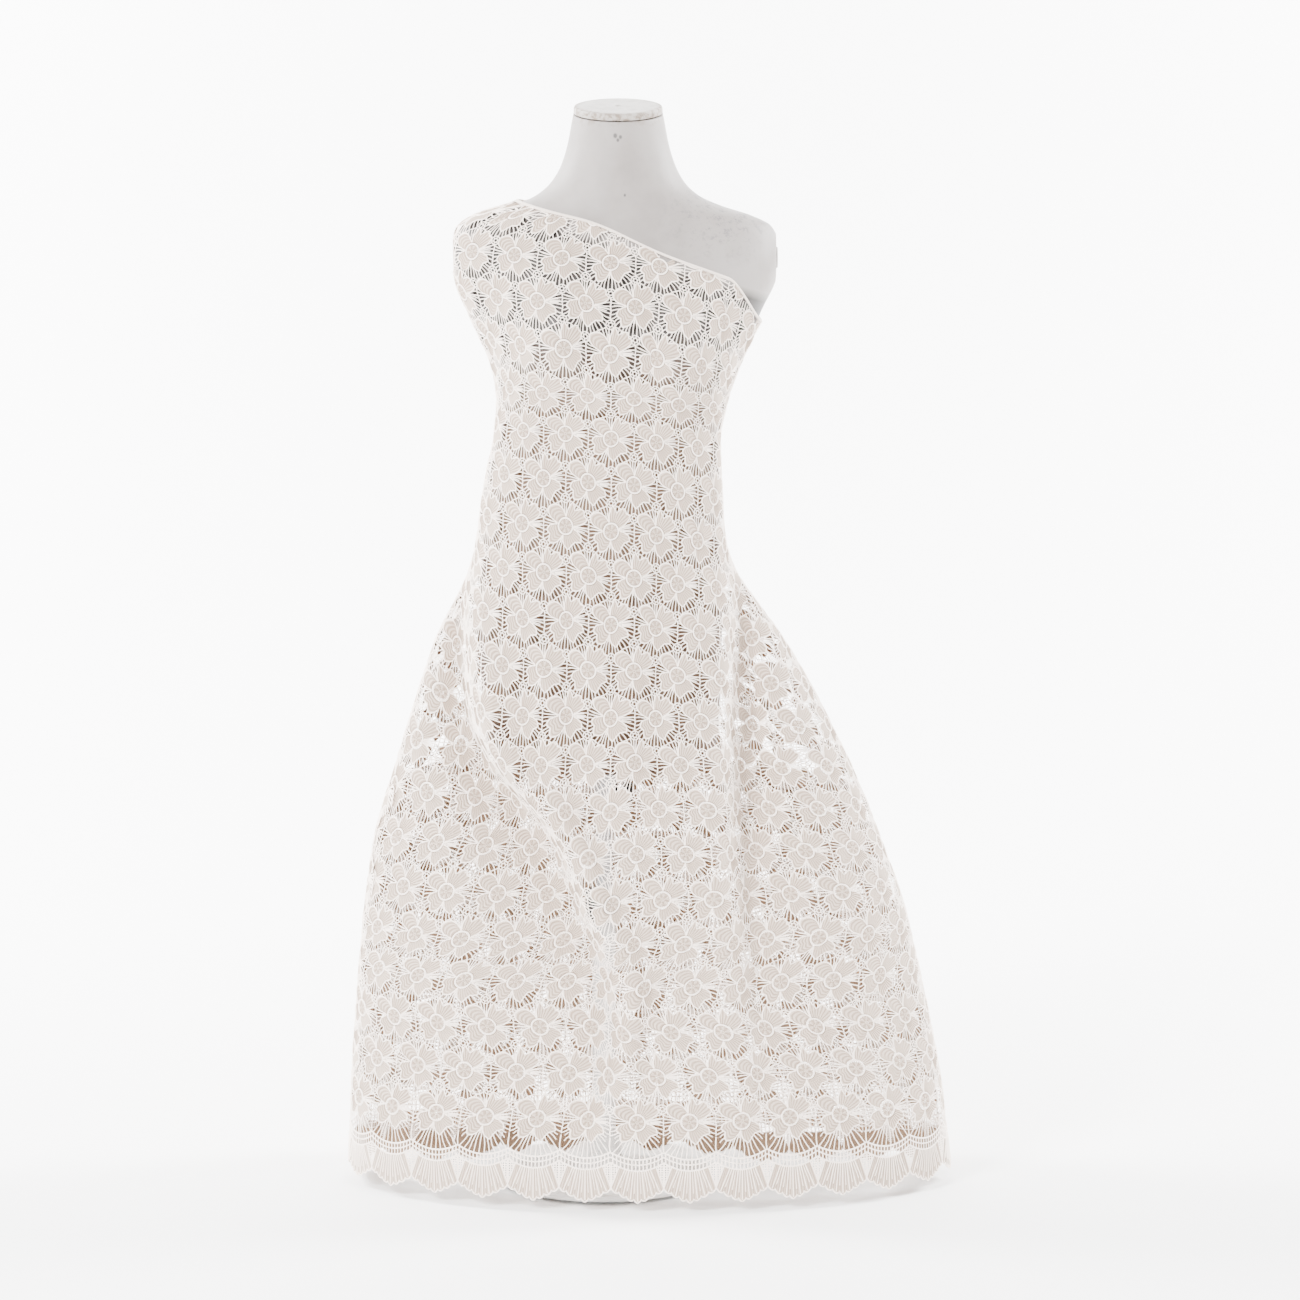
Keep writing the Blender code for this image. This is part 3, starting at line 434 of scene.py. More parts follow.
def flower(turn):
    """One flower seen from its right side, about its own middle, turned by some degrees."""
    flat = Flat()
    round_ = np.linspace(0, 360, 25)[:-1]
    flat.cord(polar(RING, round_), 2.2, 1.3, 0.4, closed=True)
    disc = np.array([np.hstack([polar(r, np.linspace(0, 360, 25)), (0.5 + h * (np.arange(25) % 2))[:, None]])
                     for r, h in ((7.4, 0.5), (3.4, 0.7), (2.6, 0.1))])
    flat.field(disc, np.tile(np.where(np.arange(24) % 4 < 2, RIB, SHADED_GAP), 2))
    flat.cord(polar(1.5, round_[::3]), 1.9, 0.6, 0.6, closed=True, kind=RIB)
    for deg in np.arange(0, 360, 18):
        flat.cord(polar(np.array([7.0, 9.2]), deg), 1.3, 0.5, 0.4, kind=RIB)
    for shape, outward in PETALS:
        first, last = shape[0][0], shape[-1][0]
        n = 2 * int((last - first) / 8.5) + 1
        deg = np.linspace(first, last, n)
        rim = np.interp(deg, [p[0] for p in shape], [p[1] for p in shape])
        deg = deg + turn
        rows = 3 if outward else 9
        grid = []
        for k in range(rows):
            r = PETAL_FOOT + (rim - PETAL_FOOT) * k / (rows - 1)
            if outward:
                height = 0.35 + 0.55 * (np.arange(n) % 2)
            else:
                height = np.full(n, 0.35 + 0.55 * (k % 2))
            grid.append(np.hstack([polar(r, deg), height[:, None]]))
        if outward:
            kinds = np.tile(np.where(np.arange(n - 1) % 2, RIB, SHADED_GAP), rows - 1)
        else:
            kinds = np.repeat(np.where(np.arange(rows - 1) % 2, RIB, SHADED_GAP), n - 1)
        flat.field(np.array(grid), kinds)
        back = np.array([np.hstack([polar(PETAL_FOOT + (rim[::2] + 0.3 - PETAL_FOOT) * t, deg[::2]),
                                    np.full((n // 2 + 1, 1), REVERSE)]) for t in (0.0, 0.5, 1.0)])
        flat.field(back, np.full(n // 2 * 2, BACK))
        sides = [polar(PETAL_FOOT + (rim[i] - PETAL_FOOT) * t, deg[i])[None]
                 for i, t in ((0, 0.0), (0, 0.5), (-1, 0.5), (-1, 0.0))]
        edge = np.vstack([sides[0], sides[1], polar(rim, deg), sides[2], sides[3]])
        flat.cord(edge, 1.6, 1.0, 0.35)
    for deg, reach in ((-3, 26), (3, 28), (8, 26), (96, 22), (172, 26), (-100, 20)):
        flat.cord(polar(np.array([10.2, reach]), deg + turn), 0.95, 0.5, 0.3)
    return flat


def cell_edge(deg, first_row):
    """Distance from the flower's middle to its cell's edge in a direction."""
    dx, dy = math.cos(math.radians(deg)), math.sin(math.radians(deg))
    span = math.hypot(HEX_W, 2 * HEX_H)
    sides = [(1, 0, HEX_W), (-1, 0, HEX_W), (HEX_W / span, 2 * HEX_H / span, span / 2),
             (-HEX_W / span, 2 * HEX_H / span, span / 2)]
    if not first_row:
        sides += [(HEX_W / span, -2 * HEX_H / span, span / 2), (-HEX_W / span, -2 * HEX_H / span, span / 2)]
    best = 60.0
    for nx, ny, reach in sides:
        along = dx * nx + dy * ny
        if along > 1e-6:
            best = min(best, (reach + CELL_DROP * ny * -1) / along)
    if first_row and dy < 0:
        for r in np.arange(18.0, best, 0.4):
            if FIRST_ROW * 1000 + r * dy < upper_arc(r * dx) + 0.6:
                return r
    return best


def ground(first_row, turn, bar):
    """Bars, cell edges and small wheels that carry the flower; bar is the width of the bars in mm."""
    flat = Flat()
    top = (HEX_W**2 + (2 * HEX_H) ** 2) / (4 * HEX_H)
    side = 2 * HEX_H - top
    wheel, hub = 5.4, 2.5
    middle = np.array([0.0, -CELL_DROP])
    corners = [middle + c for c in ([0, top], [HEX_W, side], [HEX_W, -side], [0, -top], [-HEX_W, -side],
                                    [-HEX_W, side])]
    for k in range(42):
        deg = 360 / 42 * k + 1.6 * math.sin(12.9 * k)
        start = petal_radius(deg - turn)
        start = 15.0 if start is None else start
        end = cell_edge(deg, first_row)
        d = polar(1.0, deg)
        for i, c in enumerate(corners):
            if first_row and i == 3:
                continue
            along = float(c @ d)
            off2 = float(c @ c) - along**2
            if along > 0 and off2 < wheel**2:
                end = min(end, along - math.sqrt(wheel**2 - off2))
        if end - start > 1.0:
            bend = polar(0.5 * (start + end), deg + 1.6 * math.sin(7.7 * k))
            flat.cord([d * (start + 0.3), bend, d * end], bar, 0.6, 0.15)
    for c in corners[:1] + ([] if first_row else corners[3:4]):
        flat.cord(c + polar(hub, np.linspace(0, 360, 11)[:-1]), 1.2, 0.7, 0.2, closed=True)
        flat.cord(c + polar(wheel, np.linspace(0, 360, 15)[:-1]), bar, 0.6, 0.15, closed=True)
        for deg in np.arange(15, 375, 60):
            flat.cord(c + polar(np.array([hub, wheel]), deg), 1.0, 0.5, 0.15)
    for a, b in ((corners[1], corners[2]), (corners[0], corners[1]), (corners[5], corners[0])):
        way = (b - a) / np.linalg.norm(b - a)
        ends = np.linspace(0, 1, 6)[:, None]
        line = (a + way * wheel) * (1 - ends) + (b - way * wheel) * ends
        line[1:-1:2] += np.array([-way[1], way[0]]) * 0.8
        flat.cord(line, bar, 0.6, 0.15)
    if first_row:
        low, high = float(upper_arc(HEX_W)) - FIRST_ROW * 1000, corners[2][1]
        line = [(HEX_W, high + 4), (HEX_W - 0.7, 0.5 * (high + low)), (HEX_W, low)]
        flat.cord(line, 1.35, 0.7, 0.15)
    return flat


# ---- the scalloped border -----------------------------------------------------------------------------
FAN_ROOT = 21.0              # half width of the shell where it meets the ladder bands


def upper_arc(x):
    return 51.0 + 8.5 * (np.asarray(x) / HEX_W) ** 2


def lower_arc(x):
    return 37.5 + 10.0 * (np.asarray(x) / HEX_W) ** 2


def fan_rim(b):
    """Lobed edge of the shell: seven lobes that rise from the point at its middle."""
    rise = 14.5 * np.abs(b) ** 1.3
    return np.stack([HEX_W * b, rise + 3.2 * (1 - np.abs(np.cos(3.5 * math.pi * b)) ** 0.7)], axis=-1)


def border():
    """One scallop: shell, two ladder bands above it, and the fine net beside it."""
    flat = Flat()
    n = 43
    b = np.linspace(-1, 1, n)
    rim = fan_rim(b)
    root = np.stack([b * FAN_ROOT, lower_arc(b * FAN_ROOT) - 0.3], axis=1)
    grid = []
    for k in range(5):
        height = 0.4 + 0.5 * (np.arange(n) % 2)
        grid.append(np.hstack([root + (rim - root) * (k / 4), height[:, None]]))
    flat.field(np.array(grid), np.tile(np.where(np.arange(n - 1) % 2, RIB, SHADED_GAP), 4))
    back = np.array([np.hstack([line[::2], np.full((n // 2 + 1, 1), REVERSE)])
                     for line in (root, 0.5 * (root + rim), rim)])
    flat.field(back, np.full(n // 2 * 2, BACK))
    flat.cord(rim, 1.9, 1.0, 0.4)
    for k in range(1, 14):
        at = k / 7 - 1
        inner = np.array([at * FAN_ROOT * 0.8, float(lower_arc(at * FAN_ROOT * 0.8))])
        outer = fan_rim(np.array(at))
        outer = inner + (outer - inner) * (0.95 if k % 2 else 0.80)
        flat.cord([inner, 0.5 * (inner + outer), outer], 1.35 if k % 2 else 1.0, 0.9, 0.7)
    for side in (-1, 1):
        inner = np.array([side * FAN_ROOT, float(lower_arc(FAN_ROOT))])
        outer = fan_rim(np.array(float(side)))
        flat.cord([inner, 0.5 * (inner + outer), outer], 1.5, 0.9, 0.5)
        for k in range(3):
            x0 = 29.4 - 2.8 * k
            low = 18.0 + (30.1 - x0) * 2.7
            flat.cord([(side * x0, low), (side * x0, float(lower_arc(x0)))], 1.2, 0.5, 0.25)
        for k in range(9):
            y0 = 20.5 + 2.8 * k
            inner = 30.1 - min((y0 - 18.0) / 2.7, 9.0)
            inner = max(inner, HEX_W * math.sqrt(max(y0 - 37.5, 0.0) / 10.0))
            if inner < 29.5:
                flat.cord([(side * 30.1, y0), (side * inner, y0)], 1.25, 0.5, 0.25)
    x = np.linspace(-HEX_W, HEX_W, 19)
    middle = 0.5 * (upper_arc(x) + lower_arc(x)) + 0.5
    for curve, wide in ((upper_arc(x), 1.9), (middle, 1.6), (lower_arc(x), 2.0)):
        flat.cord(np.stack([x, curve], axis=1), wide, 1.1, 0.3)
    for x0 in np.arange(-HEX_W + 2.1, HEX_W, 4.3):
        flat.cord([(x0, float(lower_arc(x0))), (x0, float(upper_arc(x0)))], 1.5, 0.7, 0.2)
    return flat


# ---- materials ------------------------------------------------------------------------------------------
def node_material(name):
    mat = bpy.data.materials.new(name)
    mat.use_nodes = True
    tree = mat.node_tree
    return mat, tree, tree.nodes["Principled BSDF"]


def plain(name, colour, rough, metal=0.0, grain=0.0, scale=400.0, sheen=0.0):
    """One even colour with a fine grain in its relief."""
    mat, tree, bsdf = node_material(name)
    bsdf.inputs["Base Color"].default_value = (*colour, 1)
    bsdf.inputs["Roughness"].default_value = rough
    bsdf.inputs["Metallic"].default_value = metal
    if sheen:
        bsdf.inputs["Sheen Weight"].default_value = sheen
        bsdf.inputs["Sheen Roughness"].default_value = 0.5
    where = tree.nodes.new("ShaderNodeTexCoord")
    noise = tree.nodes.new("ShaderNodeTexNoise")
    noise.inputs["Scale"].default_value = scale
    noise.inputs["Detail"].default_value = 3.0
    bump = tree.nodes.new("ShaderNodeBump")
    bump.inputs["Strength"].default_value = grain
    bump.inputs["Distance"].default_value = 0.0006
    tree.links.new(where.outputs["Object"], noise.inputs["Vector"])
    tree.links.new(noise.outputs["Fac"], bump.inputs["Height"])
    tree.links.new(bump.outputs["Normal"], bsdf.inputs["Normal"])
    return mat


def mixed(tree, fac, a, b):
    mix = tree.nodes.new("ShaderNodeMix")
    mix.data_type = "RGBA"
    for socket, value in ((mix.inputs[6], a), (mix.inputs[7], b)):
        if hasattr(value, "default_value") or isinstance(value, bpy.types.NodeSocket):
            tree.links.new(value, socket)
        else:
            socket.default_value = (*value, 1)
    tree.links.new(fac, mix.inputs[0])
    return mix.outputs[2]


def ramp(tree, value, low, high):
    m = tree.nodes.new("ShaderNodeMapRange")
    m.inputs["From Min"].default_value = low
    m.inputs["From Max"].default_value = high
    tree.links.new(value, m.inputs["Value"])
    return m.outputs["Result"]


def noise_at(tree, where, scale, detail=4.0, rough=0.6):
    noise = tree.nodes.new("ShaderNodeTexNoise")
    noise.inputs["Scale"].default_value = scale
    noise.inputs["Detail"].default_value = detail
    noise.inputs["Roughness"].default_value = rough
    tree.links.new(where, noise.inputs["Vector"])
    return noise.outputs["Fac"]


def times(tree, a, b):
    m = tree.nodes.new("ShaderNodeMath")
    m.operation = "MULTIPLY"
    tree.links.new(a, m.inputs[0])
    if isinstance(b, float):
        m.inputs[1].default_value = b
    else:
        tree.links.new(b, m.inputs[1])
    return m.outputs[0]


def near(tree, where, point, inner, outer, squash=(1, 1, 1)):
    """1 at a place on the object, 0 beyond the outer distance."""
    shift = tree.nodes.new("ShaderNodeVectorMath")
    shift.operation = "SUBTRACT"
    shift.inputs[1].default_value = point
    tree.links.new(where, shift.inputs[0])
    scale = tree.nodes.new("ShaderNodeVectorMath")
    scale.operation = "MULTIPLY"
    scale.inputs[1].default_value = squash
    tree.links.new(shift.outputs[0], scale.inputs[0])
    length = tree.nodes.new("ShaderNodeVectorMath")
    length.operation = "LENGTH"
    tree.links.new(scale.outputs[0], length.inputs[0])
    return ramp(tree, length.outputs["Value"], outer, inner)


def torso_paint():
    """Worn off-white paint, greyer and scuffed on the shoulders, with painted shade under the lace: near
    black on the chest, dark warm tan below the bust.
    """
    mat, tree, bsdf = node_material("torso_worn_paint_and_painted_shade")
    where = tree.nodes.new("ShaderNodeTexCoord").outputs["Object"]
    split = tree.nodes.new("ShaderNodeSeparateXYZ")
    tree.links.new(where, split.inputs[0])
    clean = (0.26, 0.236, 0.221)
    broad = ramp(tree, noise_at(tree, where, 9.0), 0.40, 0.68)
    colour = mixed(tree, times(tree, broad, 0.85), clean, (0.17, 0.145, 0.135))
    shoulder = near(tree, where, (0.085, -0.03, 1.150), 0.02, 0.085, (1, 0.6, 1.3))
    speck = ramp(tree, noise_at(tree, where, 130.0, 6.0, 0.75), 0.52, 0.62)
    colour = mixed(tree, times(tree, times(tree, shoulder, speck), 0.75), colour, (0.10, 0.085, 0.10))
    # Painted shadow of the lace: below the lace's top edge the torso is painted near black.
    under = tree.nodes.new("ShaderNodeMath")
    under.operation = "MULTIPLY_ADD"
    under.inputs[1].default_value = -EDGE_SLOPE
    tree.links.new(split.outputs["X"], under.inputs[0])
    tree.links.new(split.outputs["Z"], under.inputs[2])
    painted_lace_shadow = ramp(tree, under.outputs[0], EDGE_AT_CENTRE - 0.004, EDGE_AT_CENTRE - 0.016)
    colour = mixed(tree, painted_lace_shadow, colour, (0.030, 0.024, 0.021))
    # Painted shade under the lace: below the bust the torso turns a dark warm tan.
    low = ramp(tree, split.outputs["Z"], 1.02, 0.93)
    colour = mixed(tree, low, colour, (0.13, 0.075, 0.045))
    rim = ramp(tree, split.outputs["Z"], 1.252, 1.262)
    chips = ramp(tree, noise_at(tree, where, 90.0, 5.0, 0.7), 0.50, 0.60)
    colour = mixed(tree, times(tree, times(tree, rim, chips), 0.7), colour, (0.13, 0.085, 0.055))
    for point, size in (((-0.040, -0.050, 1.2430), 0.0030), ((-0.034, -0.050, 1.2415), 0.0024),
                        ((-0.037, -0.050, 1.2380), 0.0022), ((-0.029, -0.054, 1.1750), 0.0018)):
        mark = near(tree, where, point, size * 0.5, size, (1, 0.3, 0.8))
        colour = mixed(tree, times(tree, mark, 0.85), colour, (0.05, 0.045, 0.045))
    tree.links.new(colour, bsdf.inputs["Base Color"])
    bsdf.inputs["Roughness"].default_value = 0.55
    bump = tree.nodes.new("ShaderNodeBump")
    bump.inputs["Strength"].default_value = 0.25
    bump.inputs["Distance"].default_value = 0.0008
    tree.links.new(noise_at(tree, where, 60.0, 5.0, 0.65), bump.inputs["Height"])
    tree.links.new(bump.outputs["Normal"], bsdf.inputs["Normal"])
    return mat


def cap_paint():
    """The neck cap: grey-white with a brown rubbed rim."""
    mat, tree, bsdf = node_material("neck_cap_paint")
    where = tree.nodes.new("ShaderNodeTexCoord").outputs["Object"]
    middle = (-0.037, -0.001, 1.272)
    inside = near(tree, where, middle, 0.043, 0.0505)
    rubbed = ramp(tree, noise_at(tree, where, 120.0, 5.0, 0.7), 0.44, 0.56)
    colour = mixed(tree, times(tree, rubbed, 0.8), (0.34, 0.31, 0.28), (0.12, 0.075, 0.045))
    worn = ramp(tree, noise_at(tree, where, 60.0, 5.0, 0.7), 0.45, 0.70)
    face = mixed(tree, times(tree, worn, 0.5), (0.42, 0.40, 0.38), (0.22, 0.195, 0.17))
    colour = mixed(tree, inside, colour, face)
    tree.links.new(colour, bsdf.inputs["Base Color"])
    bsdf.inputs["Roughness"].default_value = 0.6
    return mat


# ---- pieces ---------------------------------------------------------------------------------------------
def mesh_object(name, points, faces, kinds, mats, smooth):
    mesh = bpy.data.meshes.new(name)
    faces = np.asarray(faces, np.int32)
    mesh.vertices.add(len(points))
    mesh.vertices.foreach_set("co", np.asarray(points, np.float32).ravel())
    mesh.loops.add(faces.size)
    mesh.loops.foreach_set("vertex_index", faces.ravel())
    mesh.polygons.add(len(faces))
    mesh.polygons.foreach_set("loop_start", np.arange(0, faces.size, 4, dtype=np.int32))
    mesh.polygons.foreach_set("material_index", np.asarray(kinds, np.int32))
    mesh.polygons.foreach_set("use_smooth", np.asarray(smooth, bool))
    for mat in mats:
        mesh.materials.append(mat)
    mesh.update(calc_edges=True)
    mesh.validate()
    ob = bpy.data.objects.new(name, mesh)
    bpy.context.scene.collection.objects.link(ob)
    return ob


def torso_half(name, first, last, node, mat):
    """One half of the torso's skin, finer than the CAD one."""
    a = np.linspace(first, last, 121)
    z = np.unique(np.concatenate([np.linspace(TORSO_FOOT, 1.08, 90), np.linspace(1.08, 1.20, 80),
                                  np.linspace(1.20, NECK_END, 24)]))
    aa, zz = np.meshgrid(a, z)
    x, y, h = torso_at(aa, zz)
    h = h - 0.0006 * (zz > NECK_END - 0.001)
    points = np.stack([x, y, h], axis=-1)
    inner = points.copy()
    inner[..., 0] = -0.05 + (points[..., 0] + 0.05) * 0.965
    inner[..., 1] = points[..., 1] * 0.95
    r, c = aa.shape
    ids = np.arange(r * c).reshape(r, c)

    def quads(i):
        return np.stack([i[:-1, :-1], i[:-1, 1:], i[1:, 1:], i[1:, :-1]], axis=-1).reshape(-1, 4)

    n = r * c
    faces = [quads(ids), quads(ids + n)[:, ::-1]]
    for row in (ids[0], ids[-1], ids[:, 0], ids[:, -1]):
        faces.append(np.stack([row[:-1], row[1:], row[1:] + n, row[:-1] + n], axis=-1))
    faces = np.concatenate(faces)
    ob = mesh_object(name, np.concatenate([points.reshape(-1, 3), inner.reshape(-1, 3)]), faces,
                     np.zeros(len(faces)), [mat], np.ones(len(faces)))
    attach(ob, "torso")
    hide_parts(node)
    return ob


def make_tiles(bar):
    """Flat cells of the pattern: by whether the row is the first one, and by the flower's turn."""
    tiles = {}
    for first, turn in ((True, 0.0), *((False, turn) for turn in TURNS)):
        tile = flower(turn)
        tile.add(*ground(first, turn, bar).done())
        tiles[first, turn] = tile.done()
    tiles["border"] = border().done()
    return tiles


def hang_forward(points, v):
    """Moves the second turn in place: forward, higher and narrower towards its hem, clear of the stand."""
    hang = 1 - step(0.05, LAP_TOP, v)
    beside = step(LAP_SIDE_FROM, LAP_SIDE_TO, np.abs(points[:, 0] + STAND_X))
    depth = SKIRT_DEPTH * np.sqrt(np.clip(1 - (points[:, 0] / SKIRT_HALF) ** 2, 0, 1))
    points[:, 1] *= 1 - (LAP_FORWARD + LAP_FORWARD_SIDE * beside) * hang
    points[:, 1] -= LAP_AHEAD * depth * beside * hang + LAP_INSET
    points[:, 0] *= 1 - LAP_NARROW * hang
    points[:, 2] += LAP_RISE * hang * (LAP_RISE_MIDDLE + (1 - LAP_RISE_MIDDLE) * beside)


def strip(name, drape, tiles, columns, mats, inside=False, shift=(0.0, 0.0), limit=9.0):
    """Some whole columns of the lace and their reverse side, mapped from the flat cloth onto the drape."""
    pitch = drape.width / SCALLOPS
    grow = pitch / (2 * HEX_W)
    all_p, all_f, all_k, count = [], [], [], 0
    rows = int((drape.top.max() - FIRST_ROW) / ROW_STEP) + 2
    for col in columns:
        jobs = [(tiles["border"], (col + 0.5) * pitch, 0.0)]
        for row in range(rows):
            turn = 0.0 if row == 0 else TURNS[(row + col) % 3]
            across = (col + 0.5 + 0.5 * (row % 2)) * pitch
            jobs.append((tiles[row == 0, turn], across, FIRST_ROW + row * ROW_STEP))
        for (p, f, k), across, up in jobs:
            u = p[:, 0] * grow + across - drape.width / 2 + shift[0]
            v = p[:, 1] * 0.001 + up
            v = v + shift[1] * step(0.02, 0.10, v)
            v = v - drape.tilt(u, v)
            top = np.minimum(drape.top_at(u) - 0.002, limit)
            keep = (v < top)[f].all(axis=1)
            if not keep.any():
                continue
            used = np.unique(f[keep])
            new = np.full(len(p), -1)
            new[used] = np.arange(len(used))
            all_p.append(np.stack([u[used], v[used], p[used, 2] * 0.001], axis=1))
            all_f.append(new[f[keep]] + count)
            all_k.append(k[keep])
            count += len(used)
    flat = np.concatenate(all_p)
    points = drape.place(flat[:, 0], flat[:, 1], flat[:, 2])
    if inside:
        hang_forward(points, flat[:, 1])
    faces, kinds = np.concatenate(all_f), np.concatenate(all_k)
    pair = []
    # The reverse objects carry the dark tan painted shade of the skirt's inside.
    for label, part in ((name, kinds != BACK), (name + "_reverse", kinds == BACK)):
        used = np.unique(faces[part])
        new = np.zeros(len(points), int)
        new[used] = np.arange(len(used))
        slots = np.where(kinds[part] == BACK, 0, kinds[part])
        ob = mesh_object(label, points[used], new[faces[part]], slots, mats[3:] if pair else mats[:3],
                         kinds[part] == CORD)
        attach(ob, "torso")
        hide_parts("lace_fabric")
        pair.append(ob)


def lace(drape, mats):
    """The lace in strips of whole scallops, and its second turn inside the skirt."""
    tiles = make_tiles(BAR)
    per = SCALLOPS // PANELS
    for panel in range(PANELS):
        strip("lace_strip_%d" % (panel + 1), drape, tiles, range(panel * per, (panel + 1) * per), mats)
    tiles = make_tiles(LAP_BAR)
    lap = SCALLOPS // 4
    shift = (0.5 * drape.width / SCALLOPS, LAP_SHIFT)
    for name, first in (("lace_lap_left", 0), ("lace_lap_right", SCALLOPS - lap)):
        strip(name, drape, tiles, range(first, first + lap), mats, inside=True, shift=shift, limit=LAP_TOP)


def edge_band(drape, mat):
    """Narrow close-worked band along the slanting top edge."""
    u = drape.u
    top = drape.top
    grid = []
    for drop, lift in ((0.0, 0.0004), (0.0005, 0.0014), (0.0016, 0.0019), (0.0028, 0.0015),
                       (0.0034, 0.0004)):
        grid.append(drape.place(u, top - drop, np.full_like(u, lift)))
    inner = [drape.place(u, top - d, np.full_like(u, -0.0004)) for d in (0.0032, 0.0002)]
    rings = np.array(grid + inner)
    r, c = rings.shape[:2]
    ids = np.arange(r * c).reshape(r, c)
    faces = []
    for k in range(r):
        a, b = ids[k], ids[(k + 1) % r]
        faces.append(np.stack([a, np.roll(a, -1), np.roll(b, -1), b], axis=-1))
    faces = np.concatenate(faces)
    ob = mesh_object("lace_edge_band", rings.reshape(-1, 3), faces, np.zeros(len(faces)), [mat],
                     np.ones(len(faces)))
    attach(ob, "torso")
    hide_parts("lace_top_edge")
    return ob


def dress_cad():
    """Materials of the CAD pieces that are shown as they are."""
    steel = plain("bright_steel", (0.60, 0.60, 0.61), 0.28, 1.0, 0.1, 900)
    enamel = plain("cream_enamel", (0.88, 0.87, 0.85), 0.38, 0.0, 0.08, 300)
    dark = plain("clamp_black", (0.035, 0.035, 0.038), 0.5, 0.0, 0.3, 700)
    rubber = plain("foot_rubber", (0.04, 0.04, 0.04), 0.8, 0.0, 0.4, 900)
    nylon = plain("nylon", (0.78, 0.77, 0.73), 0.45, 0.0, 0.1, 500)
    wood = plain("birch_board", (0.58, 0.43, 0.27), 0.6, 0.0, 0.4, 120)
    stump = plain("stump_paint", (0.34, 0.31, 0.29), 0.55, 0.0, 0.3, 90)
    pin = plain("pin_steel", (0.75, 0.74, 0.70), 0.2, 1.0, 0.0, 500)
    hole = plain("dark_bolt", (0.03, 0.028, 0.026), 0.6, 0.0, 0.2, 500)
    chosen = {"neck_cap": cap_paint(), "neck_cap_bolt": hole, "neck_cap_nut": steel, "socket_flange": steel,
              "base_bolt": steel, "base_washer": steel, "pole_upper": steel, "base_plate": enamel,
              "base_boss": enamel, "pole_lower": enamel, "height_collar": dark, "collar_knob": dark,
              "socket_thumbscrew": dark, "guide_bush": nylon, "pole_plug": nylon, "pole_shoe": nylon,
              "torso_base_board": wood, "arm_plate_left": stump, "arm_plate_right": stump}
    for k in range(1, 5):
        chosen["flange_screw_%d" % k] = steel
        chosen["foot_pad_%d" % k] = rubber
        chosen["pin_%d" % k] = pin
    for name, mat in chosen.items():
        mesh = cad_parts[name].data
        mesh.materials.clear()
        mesh.materials.append(mat)


CAMERA_AT, CAMERA_DOWN, CAMERA_LENS = (0.0, -5.0, 1.342), 8.01, 118.3


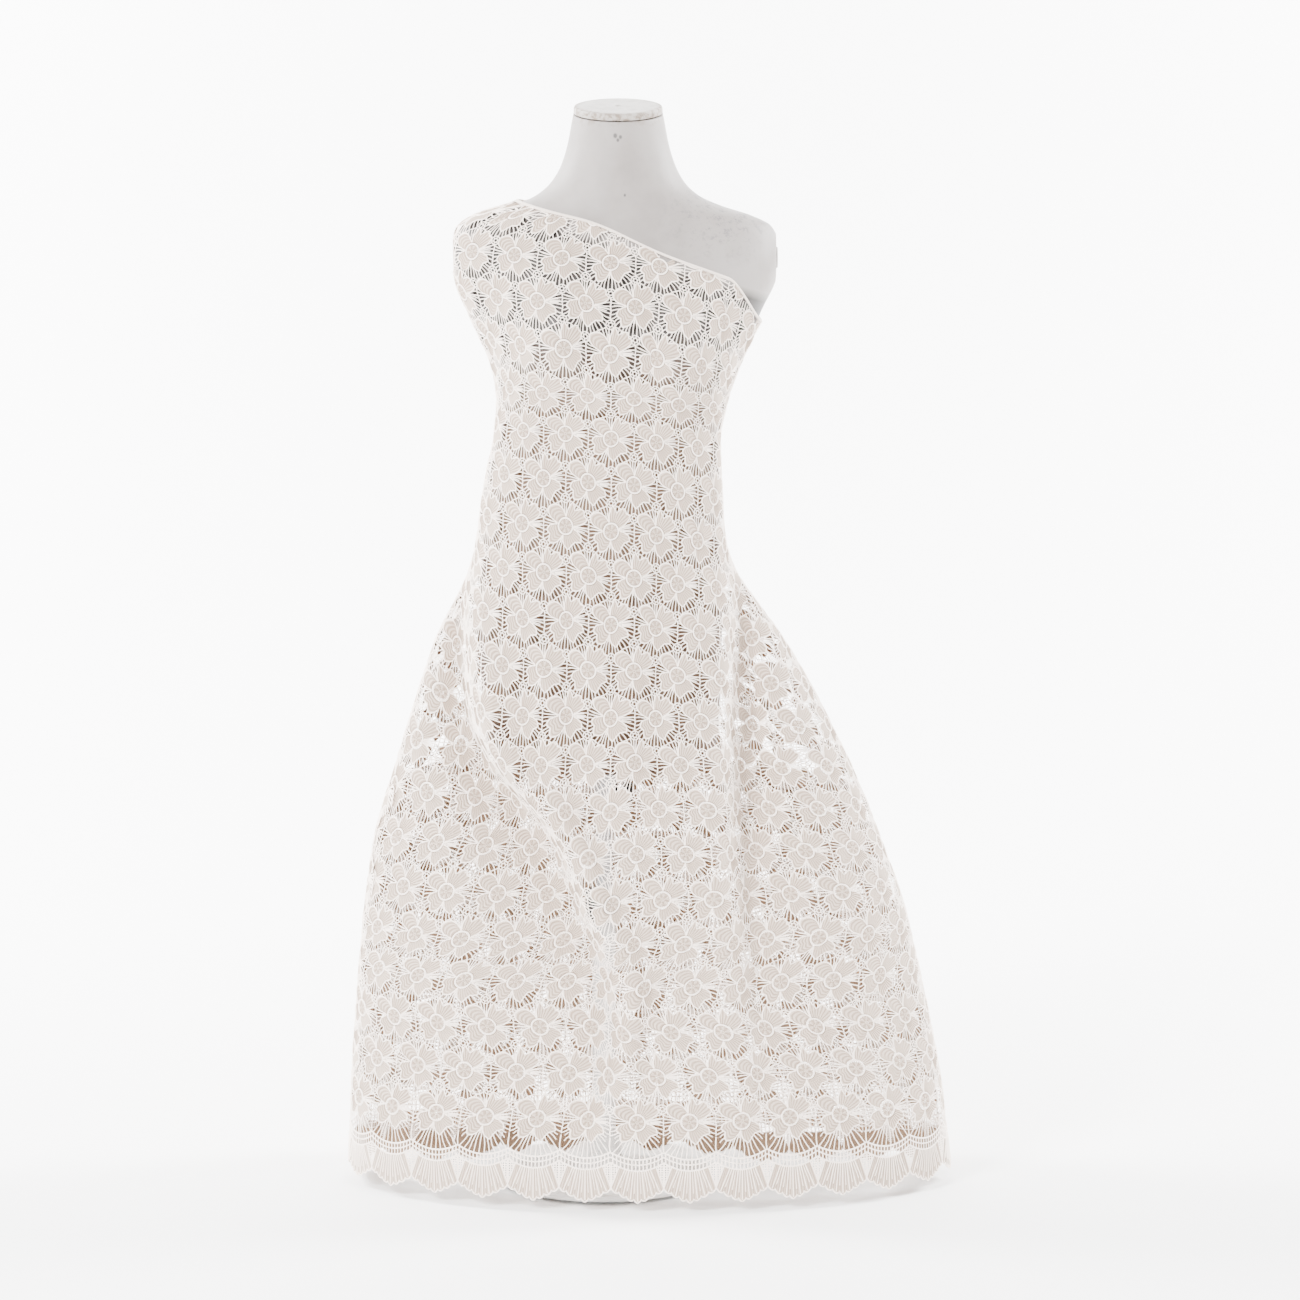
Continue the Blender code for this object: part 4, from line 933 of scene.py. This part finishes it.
def studio():
    """White sweep that is clear from behind, soft lights and the camera."""
    white = plain("white_sweep", (0.93, 0.93, 0.93), 0.9, 0.0, 0.0, 10)
    nodes, links = white.node_tree.nodes, white.node_tree.links
    side = nodes.new("ShaderNodeNewGeometry")
    clear = nodes.new("ShaderNodeBsdfTransparent")
    choose = nodes.new("ShaderNodeMixShader")
    links.new(side.outputs["Backfacing"], choose.inputs[0])
    links.new(nodes["Principled BSDF"].outputs[0], choose.inputs[1])
    links.new(clear.outputs[0], choose.inputs[2])
    links.new(choose.outputs[0], nodes["Material Output"].inputs["Surface"])
    bend = [(-6.0, 0.0), (1.6, 0.0)] + [(1.6 + 1.2 * math.sin(t), 1.2 - 1.2 * math.cos(t))
                                       for t in np.linspace(0, math.pi / 2, 13)[1:]] + [(2.8, 5.0)]
    points, faces = [], []
    for y, z in bend:
        points += [(-7.0, y, z), (7.0, y, z)]
    for k in range(len(bend) - 1):
        faces.append((2 * k, 2 * k + 1, 2 * k + 3, 2 * k + 2))
    sweep = mesh_object("sweep", points, faces, np.zeros(len(faces)), [white], np.ones(len(faces)))

    def lamp(name, place, size, power, target):
        data = bpy.data.lights.new(name, "AREA")
        data.shape = "RECTANGLE"
        data.size, data.size_y = size
        data.energy = power
        ob = bpy.data.objects.new(name, data)
        ob.location = place
        ob.rotation_mode = "QUATERNION"
        ob.rotation_quaternion = (Vector(target) - Vector(place)).to_track_quat("-Z", "Y")
        bpy.context.scene.collection.objects.link(ob)

    lamp("key", (-2.4, -3.2, 3.0), (1.4, 1.4), 640, (0, 0, 0.8))
    lamp("fill", (3.0, -3.0, 1.8), (2.2, 2.2), 160, (0, 0, 0.6))
    lamp("wall_left", (-3.0, 1.0, 2.6), (1.5, 1.5), 800, (-0.8, 2.8, 1.0))
    lamp("wall_right", (3.0, 1.0, 2.6), (1.5, 1.5), 800, (0.8, 2.8, 1.0))
    world = bpy.data.worlds.new("studio")
    world.use_nodes = True
    world.node_tree.nodes["Background"].inputs["Color"].default_value = (1, 1, 1, 1)
    world.node_tree.nodes["Background"].inputs["Strength"].default_value = 1.2
    bpy.context.scene.world = world

    data = bpy.data.cameras.new("camera")
    data.lens, data.sensor_width = CAMERA_LENS, 36.0
    cam = bpy.data.objects.new("camera", data)
    cam.location = CAMERA_AT
    cam.rotation_euler = (math.radians(90 - CAMERA_DOWN), 0, 0)
    data.clip_end = 60
    bpy.context.scene.collection.objects.link(cam)
    bpy.context.scene.camera = cam


def main():
    paint = torso_paint()
    torso_half("torso_front", math.radians(0.15), math.pi - math.radians(0.15), "torso_front_shell", paint)
    torso_half("torso_back", math.pi + math.radians(0.15), 2 * math.pi - math.radians(0.15),
               "torso_back_shell", paint)
    drape = Drape(COLUMNS, RISE)
    cord = plain("lace_cord_thread", (0.97, 0.85, 0.76), 0.85, 0.0, 0.5, 1500)
    rib = plain("lace_rib_thread", (0.52, 0.42, 0.345), 0.9, 0.0, 0.5, 1500)
    # The gap thread's darker colour is painted shade between the ribs.
    gap_shade = plain("lace_gap_painted_shade", (0.33, 0.252, 0.198), 0.9, 0.0, 0.5, 1500)
    # The reverse side is painted dark tan as shade inside the skirt, not the thread's own colour.
    back = plain("lace_reverse_painted_shade", (0.27, 0.175, 0.11), 0.9, 0.0, 0.5, 1500)
    lace(drape, [cord, rib, gap_shade, back])
    edge_band(drape, plain("lace_edge_thread", (0.74, 0.64, 0.56), 0.85, 0.0, 0.5, 1200, 0.3))
    dress_cad()
    studio()


main()
